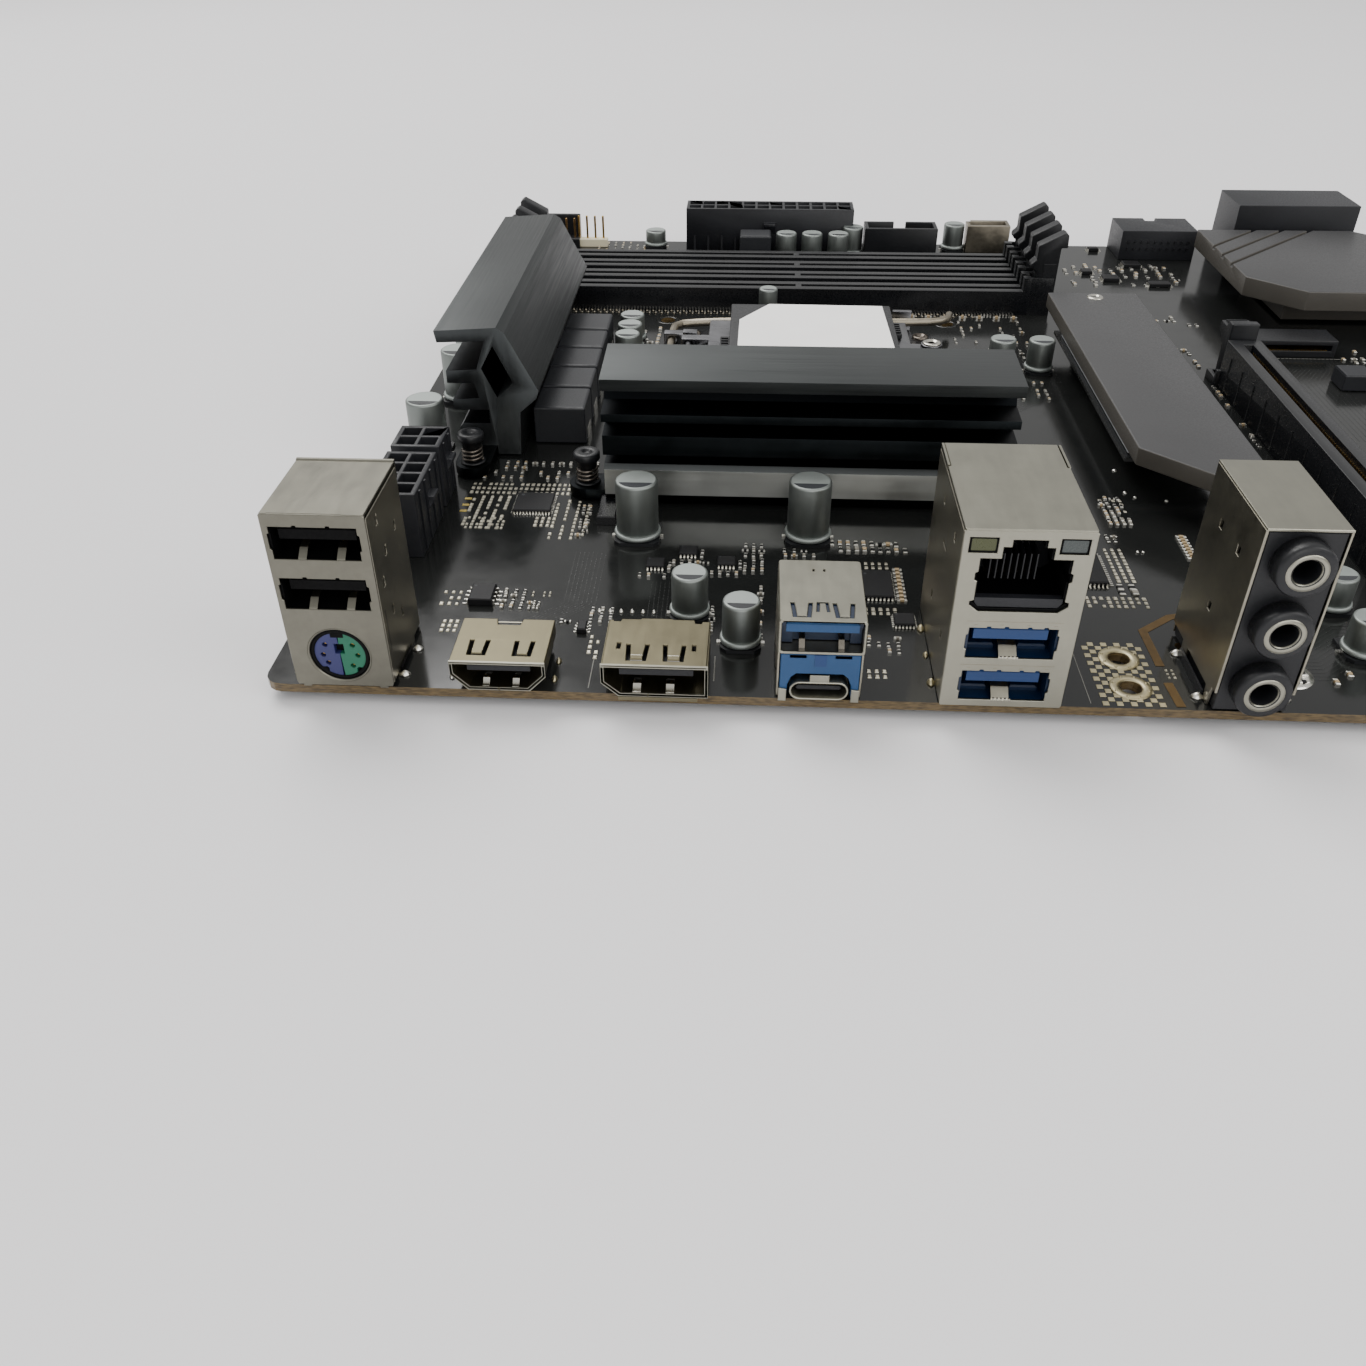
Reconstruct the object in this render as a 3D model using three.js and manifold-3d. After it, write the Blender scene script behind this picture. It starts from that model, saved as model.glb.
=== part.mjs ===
// A full-size ATX motherboard, lying flat with its component side up.
//
// Lengths are millimetres. The exported group's origin is the centre of the bare board's underside:
// +X runs along the connector edge, from the CPU power corner towards the expansion slots,
// +Y runs inwards from the connector edge, and +Z is up, out of the component side.
// Inside the board group the zero point is the board's connector-edge corner, on its top face,
// so a piece that sits on the board starts at z = 0.

import * as THREE from "three";
import { mergeVertices } from "three/addons/utils/BufferGeometryUtils.js";
import Module from "manifold-3d";

const wasm = await Module();
wasm.setup();

// ---------------------------------------------------------------- driving dimensions

const BOARD = { length: 304.8, depth: 243.84, thick: 1.57, corner: 3 };
const STAND_OFF = 2; // how far pegs and the backplate stand below the board
const PEG = { radius: 0.8, gap: 0.3 };
const GAP = 0.3; // air between pieces that meet
const SHEET = 0.5; // wall of a folded connector shell

const ATX_HOLES = {
  radius: 1.98,
  x: [6.35, 163.83, 288.29],
  y: [33.02, 10.16, 10.16], // the hole next to the first corner sits behind the connectors
  rows: [165.1, 237.49],
};

const PS2 = { at: [6, -0.4], width: 15.6, depth: 18.3, height: 30.8 };
const HDMI = { at: [30.9, -0.6], width: 15, depth: 12.5, height: 5.7 };
const DP = { at: [54.7, -1.2], width: 16.6, depth: 13.4, height: 6.3 };
const USB_AC = { at: [81.9, -0.8], width: 13.2, depth: 17.8, height: 15.1, deck: 9 };
const LAN = { at: [107.2, -0.5], width: 18.7, depth: 28.4, height: 31 };
const AUDIO = { at: [148.4, -0.4], width: 12, depth: 22, height: 32, nose: 2.8 };
const USB_PORT = { width: 13.1, height: 5.4, depth: 11, tongue: 1.9 };

const POWER = { pitch: 4.2, wall: 0.6, width: 9.6, height: 13, cell: 3.4, cellDepth: 9 };
const CPU_POWER_8 = { at: [7.2, 40.4], rows: 4 };
const CPU_POWER_4 = { at: [7.2, 60.6], rows: 2 };
const ATX_POWER = { at: [55.7, 233.2], rows: 12 };

const FIN = { height: 28.2, plate: 2.4, foot: 0.6 };
const SIDE_SINK = { x: 0, y0: 84, y1: 168 };
const REAR_SINK = { x0: 48.6, x1: 127.2, y: 46.4 };
const EAR = { radius: 3.7, thick: 2, bore: 1.5 };
const SINK_PIN = { head: 2.1, headHeight: 3, shank: 1.1, top: 9.2 };

const CAPACITOR = {
  radius: 4,
  height: 12,
  places: [
    [56, 50.6],
    [88.4, 51.6],
  ],
};
const CHOKE = { size: 11.2, pitch: 12.2, height: 8.4, web: 1.2 };
const SIDE_CHOKES = { at: [30, 91], count: 5 };
const REAR_CHOKES = { at: [60, 84.6], count: 5 };

const SOCKET = { x: 91.5, y: 133, body: 42, land: 37.6, height: 3.8, wall: 2.2 };
const COOLER_PITCH = 75;
const LOADER = { length: 64, width: 52, thick: 1.2, plateZ: 5, hingeX: -30.4, hingeZ: 4.8 };
const LEVER = { wire: 1.05, pivotX: -35, z: 2.8, side: 27, reach: 36.5 };
const COVER = { length: 40, width: 40, top: 10.6, rim: 1.4 };

const MEMORY = { x0: 17.6, x1: 151.5, y: 181.6, pitch: 9.4, width: 6.4, height: 6.4, count: 4 };
const MEMORY_LATCH = { pivot: 4.6, pivotZ: 2.6, width: 3.8, cheek: 0.9, cheekHeight: 10 };

const USB3_UP = { at: [110.8, 228.8], width: 22, depth: 8.2, height: 8.8 };
const USB3_FLAT = { at: [188.6, 230], width: 22.4, depth: 14.4, height: 8.6 };
const USB_C_UP = { at: [142.8, 235.4], width: 13, depth: 7, height: 8 };
const SATA = { at: [220, 226.5], port: 17, depth: 18, height: 8.6, columns: 2, rows: 2 };

const PCIE = { width: 7.6, height: 11.2, length: 89.6, y: 41, slotX: 192.3, pitch: 20.32 };
const PCIE_LATCH = { width: 6.4, pivotZ: 3 };
const M2_SINK = { x0: 152.4, x1: 174.6, y1: 161, top: 12, thick: 3.7, nearY: 68.6 };
const M2_SOCKET = { at: [201.6, 150], width: 22, depth: 8.6, height: 4.2 };
const CHIPSET = { x0: 207, x1: 263, y0: 164, y1: 220, top: 12, foot: 0.6 };
const BATTERY = { x: 277, y: 146, radius: 10, thick: 3.2, floor: 1.2 };

// ---------------------------------------------------------------- finishes

const finish = (color, roughness, metalness) =>
  new THREE.MeshStandardMaterial({ color, roughness, metalness });

const FINISH = {
  board: finish(0x1c1d1f, 0.45, 0.1),
  shell: finish(0xb9b5a9, 0.35, 0.95),
  steel: finish(0xc6c2b8, 0.3, 0.95),
  blackPlastic: finish(0x141517, 0.5, 0),
  greyPlastic: finish(0x2c2d30, 0.55, 0),
  bluePlastic: finish(0x2166b5, 0.45, 0),
  keyboardPlastic: finish(0x6a62ac, 0.45, 0),
  heatsink: finish(0x3b3c3c, 0.45, 0.7),
  choke: finish(0x2a2a2f, 0.5, 0.2),
  can: finish(0xb4b5b2, 0.35, 0.9),
  cell: finish(0xc9c9c6, 0.25, 0.95),
};

// ---------------------------------------------------------------- solids

function solid(geometry) {
  const bare = geometry.index ? geometry.toNonIndexed() : geometry.clone();
  bare.deleteAttribute("normal");
  bare.deleteAttribute("uv");
  const merged = mergeVertices(bare, 1e-4);
  return new wasm.Manifold(
    new wasm.Mesh({
      numProp: 3,
      vertProperties: merged.attributes.position.array,
      triVerts: new Uint32Array(merged.index.array),
    }),
  );
}

const join = (...pieces) => pieces.reduce((whole, piece) => whole.add(piece));
const cut = (whole, ...tools) => tools.reduce((rest, tool) => rest.subtract(tool), whole);

function block([x0, x1], [y0, y1], [z0, z1]) {
  const box = new THREE.BoxGeometry(x1 - x0, y1 - y0, z1 - z0);
  return solid(box.translate((x0 + x1) / 2, (y0 + y1) / 2, (z0 + z1) / 2));
}

function extruded(outline, depth, curveSegments = 4) {
  const shape = Array.isArray(outline)
    ? new THREE.Shape(outline.map(([a, b]) => new THREE.Vector2(a, b)))
    : outline;
  return new THREE.ExtrudeGeometry(shape, { depth, bevelEnabled: false, curveSegments });
}

// An outline in X and Y, raised from z0 to z1.
const prismZ = (outline, [z0, z1], curveSegments) =>
  solid(extruded(outline, z1 - z0, curveSegments).translate(0, 0, z0));

// An outline in X and Z, run from y0 to y1.
const prismY = (outline, [y0, y1]) =>
  solid(
    extruded(outline, y1 - y0)
      .rotateX(Math.PI / 2)
      .translate(0, y1, 0),
  );

// An outline in Y and Z, run from x0 to x1.
const prismX = (outline, [x0, x1]) =>
  solid(
    extruded(outline, x1 - x0)
      .rotateX(Math.PI / 2)
      .rotateZ(Math.PI / 2)
      .translate(x0, 0, 0),
  );

function rodZ(x, y, radius, [z0, z1], sides = 16) {
  const rod = new THREE.CylinderGeometry(radius, radius, z1 - z0, sides).rotateX(Math.PI / 2);
  return solid(rod.translate(x, y, (z0 + z1) / 2));
}

function rodY(x, z, radius, [y0, y1], sides = 16) {
  return solid(
    new THREE.CylinderGeometry(radius, radius, y1 - y0, sides).translate(x, (y0 + y1) / 2, z),
  );
}

function rodX(y, z, radius, [x0, x1], sides = 16) {
  const rod = new THREE.CylinderGeometry(radius, radius, x1 - x0, sides).rotateZ(Math.PI / 2);
  return solid(rod.translate((x0 + x1) / 2, y, z));
}

// A turned piece: the profile lists [radius, z] from the axis back to the axis.
const turned = (profile, sides = 20) =>
  solid(
    new THREE.LatheGeometry(
      profile.map(([r, z]) => new THREE.Vector2(r, z)),
      sides,
    ).rotateX(Math.PI / 2),
  );

function piece(name, whole, material, [x, y, z = 0] = [0, 0]) {
  const { vertProperties, triVerts } = whole.getMesh();
  const geometry = new THREE.BufferGeometry()
    .setAttribute("position", new THREE.BufferAttribute(vertProperties, 3))
    .setIndex(new THREE.BufferAttribute(triVerts, 1));
  geometry.computeVertexNormals();
  const mesh = new THREE.Mesh(geometry, material);
  mesh.name = name;
  mesh.position.set(x, y, z);
  return mesh;
}

// ---------------------------------------------------------------- pegs through the board

const pegHoles = [];

// Joins locating pegs to a piece that stands at `at`, and notes their holes for the board.
function withPegs(whole, at, places) {
  places.forEach(([x, y]) => pegHoles.push([at[0] + x, at[1] + y]));
  const foot = -BOARD.thick - STAND_OFF;
  return join(whole, ...places.map(([x, y]) => rodZ(x, y, PEG.radius, [foot, GAP], 8)));
}

// ---------------------------------------------------------------- rear connectors

// The slots round a pressed spring finger on a shell's top: two long cuts joined at the tip.
function fingerSlots(x, y0, length, width, top) {
  const line = 0.4;
  const z = [top - 1.2, top + 1];
  return join(
    block([x - width / 2, x - width / 2 + line], [y0, y0 + length], z),
    block([x + width / 2 - line, x + width / 2], [y0, y0 + length], z),
    block([x - width / 2, x + width / 2], [y0, y0 + line], z),
  );
}

// A flat tongue in the upper part of a USB port, with its back wall, for an insulator.
function usbPort(x, z) {
  const { width, height, depth, tongue } = USB_PORT;
  const hollow = block([x, x + width], [-1, depth], [z, z + height]);
  const top = z + height - 0.9;
  const blade = block([x + 0.9, x + width - 0.9], [1, depth + 0.5], [top - tongue, top]);
  return hollow.subtract(blade);
}

function ps2UsbStack() {
  const { width, depth, height, at } = PS2;
  const [portX, upperZ, lowerZ] = [1, 23.2, 14.5];
  const [dinX, dinZ, dinRadius] = [width / 2, 6.1, 5];
  const inside = block([SHEET, width - SHEET], [SHEET, depth - SHEET], [-1, height - SHEET]);
  const window = (z) =>
    block([portX, portX + USB_PORT.width], [-1, 1], [z, z + USB_PORT.height]);
  const shell = cut(
    block([0, width], [0, depth], [0, height]),
    inside,
    window(upperZ),
    window(lowerZ),
    rodY(dinX, dinZ, dinRadius, [-1, 1], 28),
  );
  const wall = SHEET + GAP;
  const core = cut(
    block([wall, width - wall], [wall, depth - wall], [2 * GAP, height - wall]),
    usbPort(portX, upperZ),
    usbPort(portX, lowerZ),
    rodY(dinX, dinZ, dinRadius, [-1, 9], 28),
  );
  const pinCircle = 2.9;
  const pinHoles = [35, 80, 145, 215, 280, 325].map((degrees) => {
    const angle = THREE.MathUtils.degToRad(degrees);
    const [x, z] = [pinCircle * Math.cos(angle), pinCircle * Math.sin(angle)];
    return rodY(x, z, 0.55, [-1, 6], 8);
  });
  const key = block([-0.8, 0.8], [-1, 6], [0.2, 2.2]);
  const insert = cut(rodY(0, 0, dinRadius - GAP, [0, 8], 28), key, ...pinHoles);
  return [
    piece("ps2_usb_shell", withPegs(shell, at, [[SHEET / 2 + PEG.radius, 4]]), FINISH.shell, at),
    piece("ps2_usb_insulator", core, FINISH.blackPlastic, at),
    piece("ps2_insert", insert, FINISH.keyboardPlastic, [at[0] + dinX, at[1] + 0.4, dinZ]),
  ];
}

function hdmiPort() {
  const { width, depth, height, at } = HDMI;
  const outline = (inset) => [
    [inset, height - inset],
    [inset, 3.1],
    [2.9, 0.2 + inset],
    [width - 2.9, 0.2 + inset],
    [width - inset, 3.1],
    [width - inset, height - inset],
  ];
  const shell = cut(
    prismY(outline(0), [0, depth]),
    prismY(outline(SHEET), [-1, depth - SHEET]),
    fingerSlots(3.8, 3.1, 3.6, 2.3, height),
    fingerSlots(11.2, 3.1, 3.6, 2.3, height),
    block([5.6, 9.6], [depth - 1.6, depth + 1], [height - 1, height + 1]),
  );
  const wall = SHEET + GAP;
  const insulator = join(
    block([wall, width - wall], [depth - 3.4, depth - wall], [3.2, height - wall - 0.2]),
    block([2.4, width - 2.4], [1.2, depth - 3], [3.4, 4.4]),
  );
  return [
    piece("hdmi_shell", shell, FINISH.shell, at),
    piece("hdmi_insulator", insulator, FINISH.blackPlastic, at),
  ];
}

function displayPort() {
  const { width, depth, height, at } = DP;
  const outline = (inset) => [
    [inset, height - inset],
    [inset, 3],
    [2.8, 0.1 + inset],
    [width - inset, 0.1 + inset],
    [width - inset, height - inset],
  ];
  const shell = cut(
    prismY(outline(0), [0, depth]),
    prismY(outline(SHEET), [-1, depth - SHEET]),
    fingerSlots(5.4, 1.8, 4, 2.7, height),
    fingerSlots(11.2, 1.8, 4, 2.7, height),
    block([2, 2.6], [4, 5.8], [height - 1.2, height + 1]),
    block([width - 2.6, width - 2], [4, 5.8], [height - 1.2, height + 1]),
  );
  const wall = SHEET + GAP;
  const insulator = join(
    block([wall, width - wall], [depth - 3.6, depth - wall], [3.2, height - wall]),
    block([2.6, width - 2.2], [1.6, depth - 3], [3.4, 4.6]),
  );
  return [
    piece("displayport_shell", shell, FINISH.shell, at),
    piece("displayport_insulator", insulator, FINISH.blackPlastic, at),
  ];
}

// A flat-sided capsule standing in X and Z, as a USB-C mouth is.
function capsule(width, height, centreX, centreZ) {
  const radius = height / 2;
  const shape = new THREE.Shape();
  shape.absarc(centreX + width / 2 - radius, centreZ, radius, -Math.PI / 2, Math.PI / 2);
  shape.absarc(centreX - width / 2 + radius, centreZ, radius, Math.PI / 2, (3 * Math.PI) / 2);
  return shape;
}

function usbAOverC() {
  const { width, depth, height, deck, at } = USB_AC;
  const portZ = deck + SHEET;
  const cMouth = { width: 9.2, height: 3.4, z: 2.1, depth: 10 };
  const middle = width / 2;
  const fingers = [3.6, width - 3.6].map((x) => fingerSlots(x, 1.9, 3.6, 2.4, height));
  const shell = join(
    cut(
      block([0, width], [0, depth], [0, height]),
      block([SHEET, width - SHEET], [-1, depth - SHEET], [-1, height - SHEET]),
      ...fingers,
    ),
    block([0, width], [0, 9], [deck, deck + SHEET]),
  );
  const wall = SHEET + GAP;
  const core = cut(
    join(
      block([wall, width - wall], [0.4, depth - wall], [GAP, deck - GAP]),
      block([wall, width - wall], [9.6, depth - wall], [deck - 1, height - wall]),
      block([1.4, width - 1.4], [1, 10], [portZ + 3, portZ + 4.8]),
    ),
    block([middle - 5.4, middle + 5.4], [-1, cMouth.depth + 1], [-1, 4.8]),
    block([-1, wall + 1.2], [-1, 1.2], [-1, 3.6]),
    block([width - wall - 1.2, width + 1], [-1, 1.2], [-1, 3.6]),
  );
  const mouth = cut(
    prismY(capsule(cMouth.width, cMouth.height, 0, 0), [0, cMouth.depth]),
    prismY(capsule(cMouth.width - 0.7, cMouth.height - 0.7, 0, 0), [-1, cMouth.depth - 1]),
  );
  return [
    piece("usb_a_over_c_shell", shell, FINISH.shell, at),
    piece("usb_a_over_c_insulator", core, FINISH.bluePlastic, at),
    piece("usb_c_mouth", mouth, FINISH.steel, [at[0] + middle, at[1], cMouth.z]),
  ];
}

// The stepped mouth of a network jack: a wide cavity with a narrow latch channel above it.
function jackMouth(inset = 0) {
  const half = 6.6 - inset;
  return [
    [-half, 26.2 - inset],
    [-half, 19.2],
    [-half + 1.3, 17.7 + inset],
    [half - 1.3, 17.7 + inset],
    [half, 19.2],
    [half, 26.2 - inset],
    [3.7 - inset, 26.2 - inset],
    [3.7 - inset, 28.1 - inset],
    [2.5 - inset, 28.1 - inset],
    [2.5 - inset, 29.3 - inset],
    [-2.5 + inset, 29.3 - inset],
    [-2.5 + inset, 28.1 - inset],
    [-3.7 + inset, 28.1 - inset],
    [-3.7 + inset, 26.2 - inset],
  ];
}

function lanUsbStack() {
  const { width, depth, height, at } = LAN;
  const middle = width / 2;
  const portX = middle - USB_PORT.width / 2;
  const [upperZ, lowerZ, split] = [9, 1.2, 16.2];
  const mouth = (y, inset) => prismY(jackMouth(inset), y).translate([middle, 0, 0]);
  const window = (z) =>
    block([portX, portX + USB_PORT.width], [-1, 1], [z, z + USB_PORT.height]);
  const lamp = (x) => block([x, x + 4.2], [-1, 1], [27, 29.6]);
  const shell = cut(
    block([0, width], [0, depth], [0, height]),
    block([SHEET, width - SHEET], [SHEET, depth - SHEET], [-1, height - SHEET]),
    mouth([-1, 1], 0),
    window(upperZ),
    window(lowerZ),
    lamp(0.8),
    lamp(width - 5),
  );
  const wall = SHEET + GAP;
  const jack = cut(
    block([wall, width - wall], [wall, depth - wall], [split, height - wall]),
    mouth([-1, 15], 0),
    block([0, 5.3], [-1, 3], [26.7, height]),
    block([width - 5.3, width], [-1, 3], [26.7, height]),
  );
  const ports = cut(
    block([wall, width - wall], [wall, depth - wall], [2 * GAP, split - GAP]),
    usbPort(portX, upperZ),
    usbPort(portX, lowerZ),
  );
  const pegs = [
    [PEG.radius, 7],
    [width - PEG.radius, 22],
  ];
  return [
    piece("lan_usb_shell", withPegs(shell, at, pegs), FINISH.shell, at),
    piece("lan_jack_housing", jack, FINISH.blackPlastic, at),
    piece("lan_usb_insulator", ports, FINISH.bluePlastic, at),
  ];
}

function audioJacks() {
  const { width, depth, height, nose, at } = AUDIO;
  const middle = width / 2;
  const heights = [5.4, 16, 26.6];
  const shell = cut(
    block([0, width], [0, depth], [0, height]),
    block([SHEET, width - SHEET], [-1, depth - SHEET], [-1, height - SHEET]),
  );
  const wall = SHEET + GAP;
  const body = block([wall, width - wall], [0, depth - wall], [2 * GAP, height - wall]);
  const noses = heights.map((z) => rodY(middle, z, 4.2, [-nose, 1], 20));
  const bores = heights.map((z) => rodY(middle, z, 1.8, [-nose - 1, 14], 16));
  return [
    piece("audio_jack_shell", withPegs(shell, at, [[PEG.radius, 18]]), FINISH.shell, at),
    piece("audio_jack_housing", cut(join(body, ...noses), ...bores), FINISH.blackPlastic, at),
  ];
}

// ---------------------------------------------------------------- power connectors

// An upright power header with two columns of square cells and a lock ramp beside them.
function powerHeader(rows) {
  const { pitch, wall, width, height, cell, cellDepth } = POWER;
  const length = rows * pitch + 2 * wall;
  const cells = [];
  for (let row = 0; row < rows; row++)
    for (const column of [0, 1]) {
      const x = width / 2 + (column - 0.5) * pitch;
      const y = wall + (row + 0.5) * pitch;
      const half = cell / 2;
      cells.push(
        block([x - half, x + half], [y - half, y + half], [height - cellDepth, height + 1]),
      );
    }
  const ramp = [
    [width - 0.1, 5.6],
    [width + 1.5, 8.2],
    [width + 1.5, 9],
    [width - 0.1, 9],
  ];
  return join(
    cut(block([0, width], [0, length], [0, height]), ...cells),
    prismY(ramp, [length / 2 - 1.8, length / 2 + 1.8]),
  );
}

function powerConnectors() {
  const length = ATX_POWER.rows * POWER.pitch + 2 * POWER.wall;
  const [x, y] = ATX_POWER.at;
  const foot = [x + length / 2, y + POWER.width / 2];
  const upright = powerHeader(ATX_POWER.rows)
    .translate([-POWER.width / 2, -length / 2, 0])
    .rotate([0, 0, -90]);
  const pegs = [
    [-length / 2 + 3, 0],
    [length / 2 - 3, 0],
  ];
  return [
    piece("cpu_power_8pin", powerHeader(CPU_POWER_8.rows), FINISH.greyPlastic, CPU_POWER_8.at),
    piece("cpu_power_4pin", powerHeader(CPU_POWER_4.rows), FINISH.greyPlastic, CPU_POWER_4.at),
    piece("atx_power_24pin", withPegs(upright, foot, pegs), FINISH.blackPlastic, foot),
  ];
}

// ---------------------------------------------------------------- voltage regulator cooling

// How high the base's shelf stands, and the heights of the lower and upper fin.
const SIDE_FINS = { shelf: 7.6, lower: [10.6, 12.8], upper: [16.4, 19] };
const REAR_FINS = { shelf: 9.3, lower: [11.8, 15.8], upper: [18.9, 20.5] };

// The extrusion's section, in its own a and z: a top plate that overhangs to low a, two fins
// below it, a thick base, and a slanted back that leaves a diamond channel. `reach` is how far
// the top plate overhangs, and `bend` is where it turns down.
function finSection(reach, bend, { shelf, lower, upper }) {
  const { height, plate, foot } = FIN;
  const section = new THREE.Shape(
    [
      [reach, height - 0.8],
      [bend, height],
      [bend + 1.6, height - 1],
      [32.8, 15],
      [32.2, 13.2],
      [28.6, 10.2],
      [28, foot],
      [17, foot],
      [15.4, 3],
      [15.4, shelf - 1],
      [16.2, shelf],
      [22, shelf],
      [22, lower[0]],
      [14.6, lower[0]],
      [14.6, lower[1]],
      [20.2, lower[1] + 0.4],
      [19.4, upper[0]],
      [13.8, upper[0]],
      [13.8, upper[1]],
      [20.2, upper[1] + 0.4],
      [22.4, height - plate - 0.4],
      [reach + 0.4, height - plate - 0.8],
    ].map(([a, z]) => new THREE.Vector2(a, z)),
  );
  const channel = [
    [24, 24.4],
    [21.2, 19.6],
    [24, 13.4],
    [27.6, 16.6],
  ];
  section.holes.push(new THREE.Path(channel.map(([a, z]) => new THREE.Vector2(a, z))));
  return section;
}

// A flat ear that carries a spring pin at (x, y), joined back to the extrusion at (toX, toY).
function sinkEar(x, y, toX, toY) {
  const { radius, thick } = EAR;
  const z = [FIN.foot, FIN.foot + thick];
  return join(
    rodZ(x, y, radius, z, 20),
    block(
      [Math.min(x, toX) - (x === toX ? radius : 0), Math.max(x, toX) + (x === toX ? radius : 0)],
      [Math.min(y, toY) - (y === toY ? radius : 0), Math.max(y, toY) + (y === toY ? radius : 0)],
      z,
    ),
  );
}

const SIDE_PINS = [
  [19.4, 76],
  [19.4, 172.4],
];
const REAR_PINS = [
  [44.4, 68],
  [131.4, 68],
];

function heatsinks() {
  const bore = ([x, y]) => rodZ(x, y, EAR.bore, [-1, 6], 16);
  const side = cut(
    join(
      prismY(finSection(12.2, 25, SIDE_FINS), [SIDE_SINK.y0, SIDE_SINK.y1]),
      sinkEar(...SIDE_PINS[0], SIDE_PINS[0][0], SIDE_SINK.y0 + 1),
      sinkEar(...SIDE_PINS[1], SIDE_PINS[1][0], SIDE_SINK.y1 - 1),
    ),
    ...SIDE_PINS.map(bore),
  );
  const rearY = REAR_SINK.y;
  const section = prismX(finSection(13.6, 30, REAR_FINS), [REAR_SINK.x0, REAR_SINK.x1]);
  const rear = cut(
    join(
      section.translate([0, rearY, 0]),
      sinkEar(...REAR_PINS[0], REAR_SINK.x0 + 1, REAR_PINS[0][1]),
      sinkEar(...REAR_PINS[1], REAR_SINK.x1 - 1, REAR_PINS[1][1]),
    ),
    ...REAR_PINS.map(bore),
  );
  const { head, headHeight, shank, top } = SINK_PIN;
  const pin = turned(
    [
      [0, -BOARD.thick - 1.6],
      [0.9, -BOARD.thick - 1.6],
      [shank, -BOARD.thick],
      [shank, top - headHeight],
      [head, top - headHeight],
      [head, top - 0.4],
      [head - 0.4, top],
      [0, top],
    ],
    14,
  );
  return [
    piece("vrm_heatsink_side", side, FINISH.heatsink),
    piece("vrm_heatsink_rear", rear, FINISH.heatsink),
    ...SIDE_PINS.map((at, i) => piece(`heatsink_pin_side_${i + 1}`, pin, FINISH.blackPlastic, at)),
    ...REAR_PINS.map((at, i) => piece(`heatsink_pin_rear_${i + 1}`, pin, FINISH.blackPlastic, at)),
  ];
}

// A row of square chokes, one body because a low web of solder mask joins them.
function chokeBank(count) {
  const { size, pitch, height, web } = CHOKE;
  const cubes = Array.from({ length: count }, (_, i) =>
    block([0, size], [i * pitch, i * pitch + size], [0, height]),
  );
  return join(...cubes, block([2, size - 2], [1, count * pitch - 2], [0, web]));
}

function chokes() {
  const [x, y] = REAR_CHOKES.at;
  const lying = chokeBank(REAR_CHOKES.count).rotate([0, 0, -90]).translate([0, CHOKE.size, 0]);
  return [
    piece("vrm_chokes_side", chokeBank(SIDE_CHOKES.count), FINISH.choke, SIDE_CHOKES.at),
    piece("vrm_chokes_rear", lying, FINISH.choke, [x, y]),
  ];
}

// The two large aluminium cans beside the rear heatsink, with the rolled neck near the foot.
function capacitors() {
  const { radius, height, places } = CAPACITOR;
  const can = turned([
    [0, 0],
    [radius + 0.25, 0],
    [radius + 0.25, 1],
    [radius - 0.3, 1.6],
    [radius, 2.2],
    [radius, height - 0.5],
    [radius - 0.5, height],
    [0, height],
  ]);
  return places.map((at, i) => piece(`filter_capacitor_${i + 1}`, can, FINISH.can, at));
}

// ---------------------------------------------------------------- CPU socket

function socketBody() {
  const { body, land, height, wall, x, y } = SOCKET;
  const [half, landHalf] = [body / 2, land / 2];
  const base = cut(
    block([-half, half], [-half, half], [0, height]),
    block([-landHalf, landHalf], [-landHalf, landHalf], [height - wall, height + 1]),
  );
  const keys = [-9, 9].map((middle) =>
    block([middle - 0.8, middle + 0.8], [-landHalf - 0.5, -landHalf + 0.7], [1, height - 0.4]),
  );
  const mark = block([landHalf - 3, landHalf], [landHalf - 3, landHalf], [1, 2]);
  return piece("cpu_socket_body", join(base, mark, ...keys), FINISH.blackPlastic, [x, y]);
}

// The frame round the socket, with the load plate's hinge pin between two lugs, the eyes that
// hold the lever's crank, the catch for its free end, and the shoulder screw at the far side.
function socketFrame() {
  const { length, width, thick, hingeX, hingeZ } = LOADER;
  const [halfL, halfW, hollow] = [length / 2, width / 2, SOCKET.body / 2 + GAP];
  const ring = cut(
    block([-halfL, halfL], [-halfW, halfW], [0, thick]),
    block([-hollow, hollow], [-hollow, hollow], [-1, 3]),
  );
  const lugs = [-13, 10.6].map((y0) =>
    block([hingeX - 1.6, hingeX + 2], [y0, y0 + 2.4], [0, hingeZ + 1.6]),
  );
  const hingePin = rodY(hingeX, hingeZ, 0.9, [-12, 12], 12);
  const { pivotX, z, wire } = LEVER;
  const eyes = [-5, 14].map((y0) =>
    cut(
      block([pivotX - 2, -halfL + 1], [y0, y0 + 2.6], [0.2, z + 2]),
      rodY(pivotX, z, wire + 0.3, [y0 - 1, y0 + 4]),
    ),
  );
  const catchX = [22, 27];
  const lever = LEVER.side + 0.4;
  const hook = join(
    block(catchX, [halfW - 1, lever + 2.8], [0, thick]),
    block(catchX, [lever + 1.6, lever + 2.8], [0, 6.2]),
  );
  const screw = join(
    rodZ(halfL - 3.4, 0, 1.5, [0, 7.2], 14),
    rodZ(halfL - 3.4, 0, 2.6, [6.8, 8.4], 14),
  );
  return join(ring, hingePin, hook, screw, ...lugs, ...eyes);
}

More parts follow.
